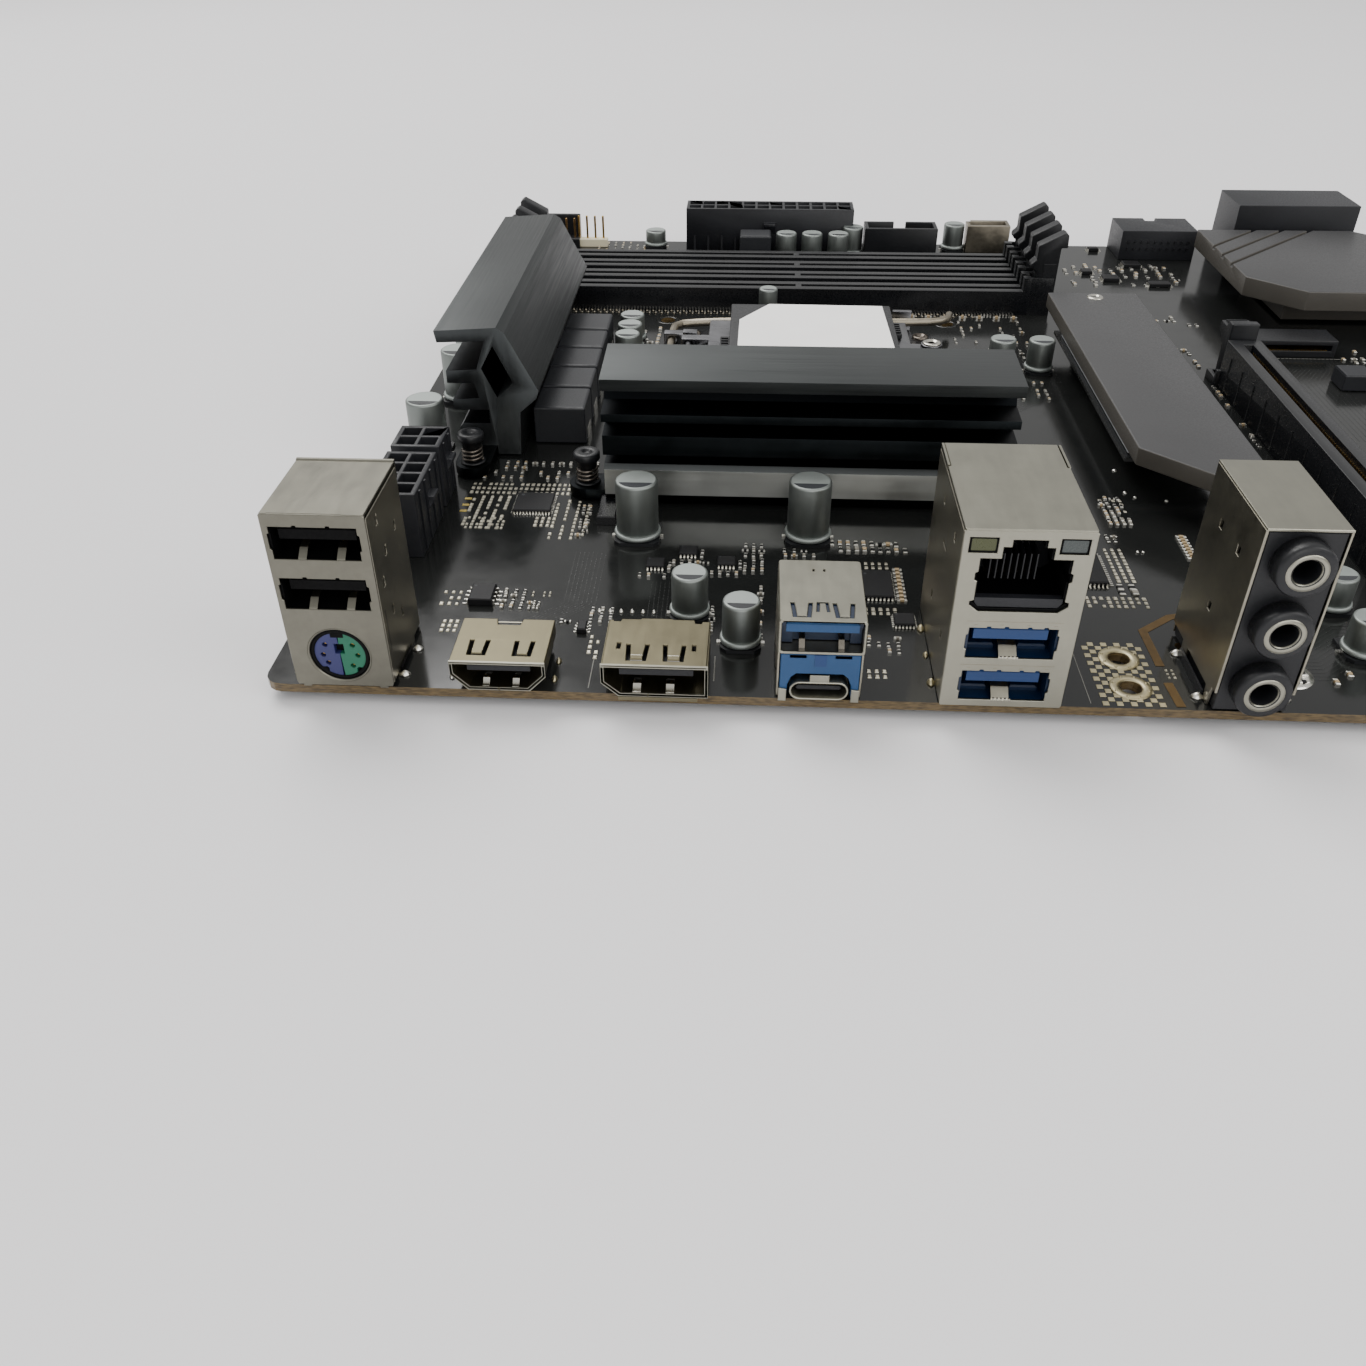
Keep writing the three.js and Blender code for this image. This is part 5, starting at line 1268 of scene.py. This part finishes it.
def slab_sinks():
    for node in ("m2_heatsink", "chipset_heatsink"):
        refined(node, ["slab_coat", "slab_edge"], "heatsink_coat", 0.3,
                choose=lambda face: int(abs(face.normal.z) < 0.5))
    refined("m2_socket", ["black"], "black_plastic", 0.15)
    refined("battery_holder", ["black"], "black_plastic", 0.2)
    slab_low, slab_high = span("m2_heatsink")
    top = slab_high.z
    b = Build()
    for place in ((163.6, 157.7), (170.6, 58.4)):
        b.lathe([(2.1, top - 0.1), (2.1, top + 0.02), (1.7, top + 0.25), (0.95, top + 0.28),
                 (0.8, top - 0.2), (0.1, top - 0.2)], place, "z", "steel", 24)
    low, high = span("m2_socket")
    for x in row(low.x + 2.2, 0.6, 30):
        b.box((x, x + 0.28), (low.y + 0.4, low.y + 4.6), (1.62, 1.75), "gold")
        b.box((x, x + 0.28), (high.y - 0.1, high.y + 0.7), (0.03, 0.2), "tin")
    b.lathe([(2.6, 0.05), (2.6, 0.9), (1.7, 0.95), (1.7, 2.3), (0.9, 2.4), (0.8, 1.4),
             (0.1, 1.4)], (212.6, 76), "z", "tin", 20)
    b.done("slab_screws", slot="steel")
    # Thermal pad and card that show between the slab and the board.
    b = Build()
    b.box((slab_low.x + 2, slab_high.x - 2), (80, 148), (5.4, 8.28), "thermal_pad", 0.2)
    b.box((slab_low.x + 1, slab_high.x - 1), (78, 152), (4.4, 5.3), "mask_trace")
    b.done("m2_thermal_pad", bevel=0.1, segments=1)

    # The cell: a rolled can with a satin lid, and the holder's spring.
    x, y, low, high = middle("coin_battery")
    b = Build((x, y, low.z))
    r, h = (high.x - low.x) / 2, high.z - low.z
    b.lathe([(r - 1.7, 0.02), (r - 1.3, 0.5), (r - 0.4, 0.55), (r - 0.05, 0.9), (r, 1.2),
             (r, h - 0.35), (r - 0.12, h - 0.1), (r - 0.4, h), (r - 1.6, h), (r - 1.75, h - 0.04),
             (r - 2.1, h - 0.04), (r - 2.3, h), (0.1, h)], (0, 0), "z", "cell_steel", 64)
    b.look("coin_battery", "cell_steel", body="battery")
    b = Build((x, y, 0))
    b.ribbon([(10.9, 0.6), (10.75, 3.4), (10.1, 4.3), (9.9, 4.75)], (-2.2, 2.2), "x", "steel", 0.3)
    b.box((-3, 3), (11.2, 14.6), (3.4, 3.9), "steel", 0.15)
    b.done("battery_spring", slot="steel")


# ---------------------------------------------------------------- the board and its small parts

CERAMIC = ("ceramic_tan", "ceramic_grey")
MIXED = ("chip_black", "chip_black", "ceramic_tan", "ceramic_grey")


def strip(b, path, width, mat, z=(0.0, 0.035)):
    """A flat trace along a list of (x, y) points."""
    pts = [Vector(p) for p in path]
    left, right = [], []
    for i, p in enumerate(pts):
        before = (p - pts[i - 1]).normalized() if i else (pts[1] - p).normalized()
        after = (pts[i + 1] - p).normalized() if i < len(pts) - 1 else before
        normal = Vector((-(before.y + after.y), before.x + after.x))
        normal = normal / max(normal.length_squared, 1e-6) * width
        left.append(tuple(p + normal))
        right.append(tuple(p - normal))
    b.prism(left + right[::-1], z, "z", mat)


def chip(b, x, y, length, width, height, mat, upright=False):
    """A two-ended chip part: a body between two bright soldered ends."""
    cap = length * 0.26
    end = (length - cap + 0.12) / 2
    parts = [(0, length - 2 * cap, width, height, mat, 0.0)]
    parts += [(a, cap + 0.12, width + 0.1, height * 0.92, "tin", 0.1) for a in (-end, end)]
    for a, long, wide, top, coat, chamfer in parts:
        if upright:
            b.bar(x, y + a, wide, long, (0.02, top), coat, chamfer)
        else:
            b.bar(x + a, y, long, wide, (0.02, top), coat, chamfer)


def ic(b, x, y, wide, deep, height, sides=(8, 0), lead=0.7):
    """A chip package. sides counts the leads on each of its x sides, then of its y sides."""
    b.bar(x, y, wide, deep, (0.12, height), "chip_black", min(0.2, height / 3))
    b.spot(x - wide * 0.34, y + deep * 0.34, height + 0.004, min(wide, deep) * 0.05, "can_mark", 12)
    for count, run, edge, on_y in ((sides[0], deep, wide / 2, False), (sides[1], wide, deep / 2, True)):
        for k in range(count):
            a = (k + 0.5) / count * run - run / 2
            pin = min(0.3, run / count * 0.5)
            for side in (-1, 1):
                for reach, z in ((lead, (0.02, 0.17)), (lead * 0.35, (0.1, height * 0.6))):
                    out = side * (edge + (reach - 0.05) / 2)
                    if on_y:
                        b.bar(x + a, y + out, pin, reach + 0.05, z, "tin")
                    else:
                        b.bar(x + out, y + a, reach + 0.05, pin, z, "tin")


def grid(area, pitch, slant=0.0):
    """Places row by row over an area, which is given as x0, x1, y0 and y1."""
    x0, x1, y0, y1 = area
    y = y0
    while y <= y1:
        x = x0 + slant * (y - y0)
        while x <= x1 + slant * (y - y0):
            yield x, y
            x += pitch[0]
        y += pitch[1]


def cluster(b, area, pitch, seed, keep=0.85, sizes=(1.0, 0.5), mats=MIXED, jitter=0.1):
    """Rows of chip parts over an area, with gaps, as round a regulator or a controller."""
    rng = random.Random(seed)
    for x, y in grid(area, pitch):
        draw, mat = rng.random(), rng.choice(mats)
        if draw < keep:
            chip(b, x + rng.uniform(-jitter, jitter), y + rng.uniform(-jitter, jitter), *sizes,
                 0.34 if mat == "chip_black" else 0.5, mat, draw < keep * 0.85)


def dots(b, area, pitch, seed, keep=0.9, r=0.33, slant=0.0):
    """Rows of bright solder pads, the way bare pads and pin ends show."""
    rng = random.Random(seed)
    for x, y in grid(area, pitch, slant):
        if rng.random() < keep:
            a = r * rng.uniform(0.85, 1.1)
            b.bar(x, y, 2 * a, 2.5 * a, (0, 0.2), "pad_solder", 0.12)


def small_parts():
    """Chips, resistors and pads, gathered by the part of the board that they serve."""
    b = Build()
    # Beside the CPU power headers: the regulator's controller and its rows of parts.
    dots(b, (20.5, 41, 67.2, 71.6), (1.1, 1.9), 1, 0.92)
    dots(b, (21.4, 28.6, 52.5, 66), (1.75, 1.15), 2, 0.88, slant=0.02)
    dots(b, (22.2, 29.2, 52.4, 56.5), (1.0, 1.3), 3, 0.7, 0.25)
    ic(b, 34.2, 62.2, 7.6, 7.6, 0.95, (12, 12), lead=0.35)
    dots(b, (39, 46, 49, 64.6), (2.1, 1.5), 4, 0.9, 0.33)
    cluster(b, (44.4, 46.6, 50, 63), (1.3, 1.9), 5, 0.7)
    dots(b, (35.6, 38.2, 53.8, 57.2), (1.2, 1.4), 6, 0.9, 0.33)
    b.box((47.6, 51.3), (54.5, 64.8), (0.05, 1.9), "black_gloss", 0.2)
    for y in (64.3, 61.6, 59.1):
        b.box((19.7, 21.1), (y - 0.4, y + 0.4), (0.0, 0.06), "gold_pad")
    for x in row(30.9, 0.52, 14):
        dot(b, x, 57.9, 0.17)
    cluster(b, (22, 46, 73.8, 82), (1.9, 2.3), 7, 0.55, mats=CERAMIC)
    # Behind the HDMI port.
    dots(b, (23.6, 27.2, 24.8, 30.4), (1.35, 1.9), 8, 0.9)
    ic(b, 30.5, 27.0, 4.2, 5.4, 1.45, (4, 0), lead=1.1)
    cluster(b, (34.4, 38.4, 24.2, 30), (1.6, 1.7), 9, 0.95)
    cluster(b, (39.2, 41.4, 24.0, 25.6), (0.75, 1.4), 10, 1.0, sizes=(0.8, 0.35))
    dots(b, (39.2, 43, 28.2, 29.2), (1.0, 1.0), 11, 0.7, 0.2)
    dots(b, (25.4, 28.6, 16.4, 19.4), (1.1, 1.4), 12, 1.0)
    ic(b, 49.3, 17.9, 1.6, 2.8, 1.0, (3, 0), lead=0.6)
    cluster(b, (45.4, 46.8, 20, 21), (1.2, 2), 13, 1.0)
    cluster(b, (50.4, 54.2, 20.4, 24), (1.7, 1.8), 14, 0.9)
    # Behind the DisplayPort.
    for x in row(51.6, 1.9, 6):
        solder(b, x, 23.6, 0.42, 0.55, 0.6)
    dots(b, (51.2, 53, 9.6, 16), (1.2, 1.5), 15, 0.85)
    for x, y in ((60.2, 39.6), (66, 44.4), (73.2, 40.8)):
        ic(b, x, y, 3.4, 3.0, 0.95, (0, 5), lead=0.55)
        cluster(b, (x - 2.6, x + 3.4, y - 3.6, y - 3.2), (1.5, 1), int(x), 0.8)
        cluster(b, (x + 2.6, x + 2.7, y - 1, y + 1.4), (1.5, 1.5), int(y), 1.0)
    cluster(b, (76.6, 80.2, 38.6, 48.6), (1.55, 1.8), 16, 0.85)
    cluster(b, (84, 90.4, 44.2, 46.4), (1.8, 1.9), 17, 0.8)
    cluster(b, (71.2, 72.4, 18.6, 26.4), (1.4, 1.7), 18, 0.9)
    cluster(b, (79.6, 81, 17, 33), (1.5, 1.9), 19, 0.85)
    # Between the USB and the network stacks.
    cluster(b, (92.9, 106.4, 47, 51.4), (1.5, 2.2), 20, 0.9, sizes=(1.5, 0.7))
    dots(b, (98.8, 103, 40.6, 42.2), (1.25, 1.5), 21, 1.0)
    ic(b, 100.2, 34, 5.6, 9.0, 0.95, (14, 8), lead=0.35)
    for y in row(29.4, 1.3, 9):
        chip(b, 104.3, y, 1.5, 0.62, 0.45, "ceramic_tan")
    dots(b, (97.8, 103, 25.2, 27), (1.25, 1.3), 22, 1.0)
    ic(b, 104, 22.6, 3.6, 3.6, 0.9, (6, 6), lead=0.3)
    cluster(b, (97.6, 102.6, 13.6, 17.6), (1.6, 1.9), 23, 0.8)
    dots(b, (97, 99.6, 6.4, 8.2), (1.25, 1.5), 24, 1.0)
    # Right of the network stack.
    ic(b, 135.6, 41.5, 12, 11, 1.0, (16, 16), lead=0.9)
    dots(b, (143.8, 147.6, 38, 50), (1.35, 1.25), 25, 0.9)
    cluster(b, (145.2, 147, 52.6, 55.4), (1.3, 1.5), 26, 1.0)
    dots(b, (136.8, 147, 29.4, 32.6), (1.25, 1.3), 27, 0.85)
    cluster(b, (143.4, 147.2, 34, 36), (2.2, 1.8), 28, 0.9, sizes=(1.6, 1.0))
    cluster(b, (147.2, 152, 59.4, 70.4), (1.3, 1.5), 29, 0.8)
    dots(b, (147.4, 152, 60.2, 69.8), (1.3, 1.5), 30, 0.5)
    dots(b, (144.8, 146.4, 8.4, 10.6), (0.9, 1.0), 31, 1.0, 0.2)
    for x, y, r in ((153.5, 82.9, 0.6), (153.2, 72.7, 0.5), (154.7, 70.7, 0.4), (149.7, 48.5, 0.35),
                    (150.7, 48.5, 0.35), (160.6, 69.5, 0.4)):
        dot(b, x, y, r, 0.4)
    for y in row(46.6, 1.15, 8):
        chip(b, 159.3, y, 1.7, 0.6, 0.45, "ceramic_tan")
    # Round the processor: decoupling rows between the chokes and the socket, and past its end.
    cluster(b, (48.6, 52.6, 106, 164), (1.9, 2.6), 32, 0.6, mats=CERAMIC,
            sizes=(1.5, 0.8))
    cluster(b, (131, 148, 120, 131), (2.0, 2.4), 33, 0.65, mats=CERAMIC)
    cluster(b, (60, 122, 98, 103), (2.6, 2.2), 34, 0.6, mats=("ceramic_tan", "chip_black"))
    cluster(b, (130, 150, 146, 172), (2.6, 2.6), 35, 0.35)
    for x in row(111, 4.6, 9):
        chip(b, x, 175.2, 1.6, 0.8, 0.7, "ceramic_tan")
    near = span("memory_slot_1")[0]
    for x in row(near.x + 4, 1.7, 72):
        dot(b, x, near.y - 1.1, 0.42, 0.5, "bronze_shield")
        dot(b, x + 0.8, near.y - 2.7, 0.36, 0.4, "bronze_shield")
    # The far corner between the memory and the angled header.
    cluster(b, (170, 204, 205, 226), (3.4, 2.7), 36, 0.5, sizes=(1.5, 0.8), jitter=0.6,
            mats=("ceramic_tan", "chip_black", "ceramic_grey"))
    for x, y, w, d in ((191, 223.6, 5, 4), (181.7, 210, 4.6, 4), (176, 216, 3, 3),
                       (194.5, 205, 6, 3), (183, 239, 3, 2.4)):
        ic(b, x, y, w, d, 1.1, (4, 0), lead=0.8)
    cluster(b, (62, 70, 222, 229), (2.1, 2.2), 37, 0.7)
    cluster(b, (28, 43, 231, 241), (2.4, 2.4), 38, 0.6, mats=CERAMIC)
    # The expansion area: sound, firmware and bus chips.
    for x, y, size, leads, lead in ((176, 42, 7, 12, 0.9), (226, 88, 9, 14, 0.7),
                                    (290, 84, 6, 8, 0.7), (176, 186, 10, 16, 0.9)):
        ic(b, x, y, size, size, 1.1, (leads, leads), lead)
    for x, y, height in ((222, 50, 1.4), (236, 112, 1.4), (278, 196, 1.6)):
        ic(b, x, y, 5, 4, height, (4, 0), 1.0)
    first_seed = 40
    for k, area in enumerate(((166, 188, 8, 13), (166, 186, 49, 56), (206, 216, 20, 44),
                              (230, 246, 30, 52), (216, 240, 97, 106), (270, 296, 68, 78),
                              (270, 296, 90, 104), (206, 246, 8, 15), (166, 196, 172, 178),
                              (268, 290, 170, 190), (180, 188, 64, 160), (268, 292, 208, 222),
                              (225, 246, 130, 158), (262, 270, 44, 100))):
        cluster(b, area, (2.5, 2.7), first_seed + k, 0.5, (1.3, 0.65), jitter=0.5)
    b.done("small_parts", slot="port_shell")


def antenna_pad():
    """A checkered field of tinned squares round two plated holes, and the bare copper trace."""
    b = Build()
    size = 1.09
    holes = ((138, 5.4), (138, 13.4))
    for i in range(9):
        for j in range(16):
            x, y = 132.6 + (i + 0.5) * size, 0.55 + (j + 0.5) * size
            if (i + j) % 2 == 0 and all(math.dist((x, y), hole) >= 2.9 for hole in holes):
                b.bar(x, y, size - 0.1, size - 0.1, (0, 0.1), "tin_warm", 0.04)
    for x, y in holes:
        b.lathe([(1.75, 0.0), (3.35, 0.0), (3.25, 0.16), (2.5, 0.26), (1.8, 0.14)], (x, y), "z",
                "tin_warm", 36, closed=True)
        b.lathe([(1.7, -1.6), (1.75, -1.6), (1.75, 0.02), (1.7, 0.02)], (x, y), "z", "copper", 28,
                closed=True)
        for degrees in row(22, 45, 8):
            t = math.radians(degrees)
            dot(b, x + 2.75 * math.cos(t), y + 2.75 * math.sin(t), 0.28, 0.3, "tin_warm", 0.12)
    for path in ([(151.5, 26.9), (149.6, 26.4), (144.0, 21.8), (144.2, 11.6)],
                 [(144.2, 7.0), (144.6, 0.7)]):
        strip(b, path, 1.45, "copper", (0, 0.07))
    b.done("antenna_pad", slot="port_shell")


def lanes(b, count, pitch, width, path):
    """Parallel traces. path gives a trace's points from how far it is shifted and its number."""
    for k in range(count):
        strip(b, path(pitch * k, k), width, "mask_trace")


def traces():
    """Memory lanes from the socket, bus lanes to the slots, and lanes along the port edge."""
    b = Build()
    lanes(b, 46, 1.05, 0.22, lambda s, k: [
        (66 + s, 162), (66 + s, 166 + k % 5 * 0.5), (71 + s, 171 + k % 5 * 0.5), (71 + s, 176)])
    lanes(b, 22, 1.1, 0.22, lambda s, k: [
        (125, 110 + s), (136, 110 + s), (146, 120 + s - k * 0.35), (152, 120 + s - k * 0.35)])
    lanes(b, 18, 1.0, 0.22, lambda s, k: [(176, 88 + s), (182, 88 + s), (187, 83 + s)])
    lanes(b, 20, 1.0, 0.2, lambda s, k: [
        (204 + s, 163), (204 + s, 142), (196 + s + k * 0.2, 134), (196 + s + k * 0.2, 100)])
    lanes(b, 14, 0.9, 0.2, lambda s, k: [(262 + s, 222), (256 + s, 228), (250 + s, 228.5 + 0.1 * k)])
    lanes(b, 8, 0.8, 0.18, lambda s, k: [(39 + s, 14), (39 + s, 20), (45 + s, 26), (45 + s, 44)])
    lanes(b, 8, 0.8, 0.18, lambda s, k: [(63 + s, 13), (63 + s, 19), (60 + s, 22), (60 + s, 34)])
    lanes(b, 8, 0.8, 0.18, lambda s, k: [(86 + s, 18), (86 + s, 26), (91 + s, 31), (91 + s, 42)])
    lanes(b, 12, 1.0, 0.2, lambda s, k: [(162, 9 + s), (170, 9 + s), (176, 14 + s), (214, 14 + s)])
    lanes(b, 12, 1.0, 0.2, lambda s, k: [(248, 69 + s), (240, 69 + s), (232, 77 + s), (205, 77 + s)])
    b.done("traces", slot="solder_mask")


def silk_lines():
    """Plain silk-screen lines: outlines round parts, with no lettering."""
    b = Build()
    for x0, x1, y0, y1 in ((130.8, 130.92, 1, 27), (52.3, 130.7, 101.2, 101.4),
                           (58.2, 58.4, 222, 230), (72.0, 72.2, 4, 11), (52.2, 52.35, 1.2, 9),
                           (166, 166.2, 8, 60), (166, 190, 60, 60.2), (204, 246, 60, 60.2),
                           (292.6, 292.8, 168, 210), (203, 225.4, 148.8, 149)):
        b.box((x0, x1), (y0, y1), (0, 0.03), "silk")
    b.done("silk_lines", slot="solder_mask")


def hole_rings():
    """Plated rings round the mounting holes, on both faces, and dark ones round the cooler's."""
    b = Build()
    for x, first_y in ((6.35, 33.02), (163.83, 10.16), (288.29, 10.16)):
        for y in (first_y, 165.1, 237.49):
            for z0, z1 in ((0, 0.06), (BELOW - 0.06, BELOW)):
                b.lathe([(2.0, z0), (4.0, z0), (4.0, z1), (2.0, z1)], (x, y), "z", "tin", 32,
                        closed=True)
            for degrees in row(0, 45, 8):
                t = math.radians(degrees)
                dot(b, x + 3.1 * math.cos(t), y + 3.1 * math.sin(t), 0.35, 0.14, "tin", 0.05)
    x, y, _, _ = middle("cpu_socket_body")
    for dx in (-37.5, 37.5):
        for dy in (-37.5, 37.5):
            b.lathe([(2.05, 0), (3.2, 0), (3.2, 0.05), (2.05, 0.05)], (x + dx, y + dy), "z",
                    "mask_trace", 28, closed=True)
    b.done("hole_rings", slot="port_shell")


def underside():
    """The soldered ends of everything that passes through, and scattered small parts."""
    fields = [(9.9, 14.1, 43, 68, 4.2, 4.2), (58.5, 104.7, 235.9, 240.1, 4.2, 4.2)]
    fields += [(25, 145, y - 1, y + 1.6, 2.6, 2.6) for y in (182, 191, 200.8, 210.2)]
    fields += [(x, x + 3.2, 46, 126, 3.2, 2) for x in (190.7, 251.7)]
    fields += [(8, 20, 2, 14, 2.5, 4), (33, 44, 5, 11, 1.8, 3), (57, 69, 5, 11, 1.8, 3),
               (84, 93, 5, 14, 1.8, 3), (110, 123, 6, 22, 2.2, 3.5), (150, 159, 5, 19, 4, 4.6),
               (112.8, 130.8, 231.9, 233.9, 2, 2), (224, 252, 229, 236, 2.5, 3.5),
               (290, 300, 232, 234.5, 2.54, 2.54), (299, 301.5, 176, 206, 2.54, 2.54),
               (270, 284, 146, 158, 7, 12)]
    b = Build()
    for x0, x1, y0, y1, x_pitch, y_pitch in fields:
        for x in row(x0, x_pitch, int((x1 - x0) / x_pitch + 1.001)):
            for y in row(y0, y_pitch, int((y1 - y0) / y_pitch + 1.001)):
                b.knob([(1, 0), (0.55, -0.55), (0.3, -1)], (x, y, BELOW), (0.6, 0.6, 0.9), "tin", 7)
    b.done("underside_solder", slot="port_shell")

    b = Build()
    rng = random.Random(90)
    for _ in range(260):
        x, y = rng.uniform(20, 285), rng.uniform(20, 225)
        if 56 < x < 127 and 98 < y < 168:  # the backplate's place
            continue
        width, along_x = rng.choice((0.5, 0.8)), rng.random() < 0.5
        wide, deep = (2 * width, width) if along_x else (width, 2 * width)
        b.bar(x, y, wide, deep, (BELOW - 0.5, BELOW), "ceramic_tan")
        for end in (-width, width):
            end_x, end_y = (x + end, y) if along_x else (x, y + end)
            b.bar(end_x, end_y, width / 1.5, width / 1.5, (BELOW - 0.42, BELOW), "tin")
    b.done("underside_parts", slot="port_shell")


# ---------------------------------------------------------------- stage


def make_stage():
    """A plain pale floor and soft studio light."""
    bm = bmesh.new()
    bmesh.ops.create_grid(bm, x_segments=1, y_segments=1, size=6.0)
    mesh = bpy.data.meshes.new("floor")
    bm.to_mesh(mesh)
    bm.free()
    floor = bpy.data.objects.new("floor", mesh)
    bpy.context.scene.collection.objects.link(floor)
    floor.location = (0, 0, CAD_BOX[0][2] - 0.0002)
    n = Nodes("floor_paint")
    n.set(Base_Color=n.ramp(n.noise(1.5, 3), (0.3, hexa("dfdee0")), (0.7, hexa("e6e5e7"))),
          Roughness=n.remap(n.noise(40, 3), 0.7, 0.8), Specular_IOR_Level=0.3)
    mesh.materials.append(n.mat)

    world = bpy.data.worlds.new("studio")
    bpy.context.scene.world = world
    world.use_nodes = True
    tree = world.node_tree
    back = tree.nodes["Background"]
    coord = tree.nodes.new("ShaderNodeTexCoord")
    split = tree.nodes.new("ShaderNodeSeparateXYZ")
    tree.links.new(coord.outputs["Generated"], split.inputs[0])
    ramp = tree.nodes.new("ShaderNodeValToRGB")
    tree.links.new(split.outputs["Z"], ramp.inputs["Fac"])
    for element, (place, value) in zip(ramp.color_ramp.elements, ((0.0, 0.55), (1.0, 0.95))):
        element.position = place
        element.color = (value, value * 0.995, value * 0.985, 1)
    tree.links.new(ramp.outputs["Color"], back.inputs["Color"])

    for name, place, size, power in (("key", (-0.5, 0.55, 1.1), 0.9, 16),
                                     ("fill", (0.9, -0.6, 0.9), 0.8, 7),
                                     ("front", (0.0, -1.1, 0.5), 0.8, 5)):
        light = bpy.data.lights.new(name, "AREA")
        light.shape = "SQUARE"
        light.size = size
        light.energy = power
        light.color = (1.0, 0.99, 0.97)
        obj = bpy.data.objects.new(name, light)
        bpy.context.scene.collection.objects.link(obj)
        obj.location = place
        obj.rotation_euler = (-Vector(place)).to_track_quat("-Z", "Y").to_euler()


def make_camera():
    """Stands where the picture was taken from: in front of the port edge, looking down."""
    camera = bpy.data.cameras.new("camera")
    camera.sensor_width = 36
    camera.lens = 31.5
    camera.clip_start = 0.01
    obj = bpy.data.objects.new("camera", camera)
    bpy.context.scene.collection.objects.link(obj)
    yaw, pitch, roll = math.radians(3.332), math.radians(36.181), math.radians(-0.321)
    forward = Vector((-math.sin(yaw) * math.cos(pitch), math.cos(yaw) * math.cos(pitch),
                      -math.sin(pitch)))
    right = Vector((math.cos(yaw), math.sin(yaw), 0))
    up = right.cross(forward)
    right, up = (right * math.cos(roll) + up * math.sin(roll),
                 up * math.cos(roll) - right * math.sin(roll))
    turn = Matrix((right, up, -forward)).transposed().to_4x4()
    obj.matrix_world = Matrix.Translation(at(76.176, -150.289, 112.503)) @ turn
    bpy.context.scene.camera = obj


make_materials()
make_camera()
make_stage()
ps2_usb_stack()
hdmi_port()
display_port()
usb_a_over_c()
lan_usb_stack()
audio_stack()
heatsinks()
chokes()
capacitors()
power_headers()
cpu_socket()
memory()
edge_headers()
expansion_slots()
slab_sinks()
small_parts()
antenna_pad()
refined("circuit_board", ["mask"], "solder_mask", 0)
traces()
silk_lines()
hole_rings()
underside()
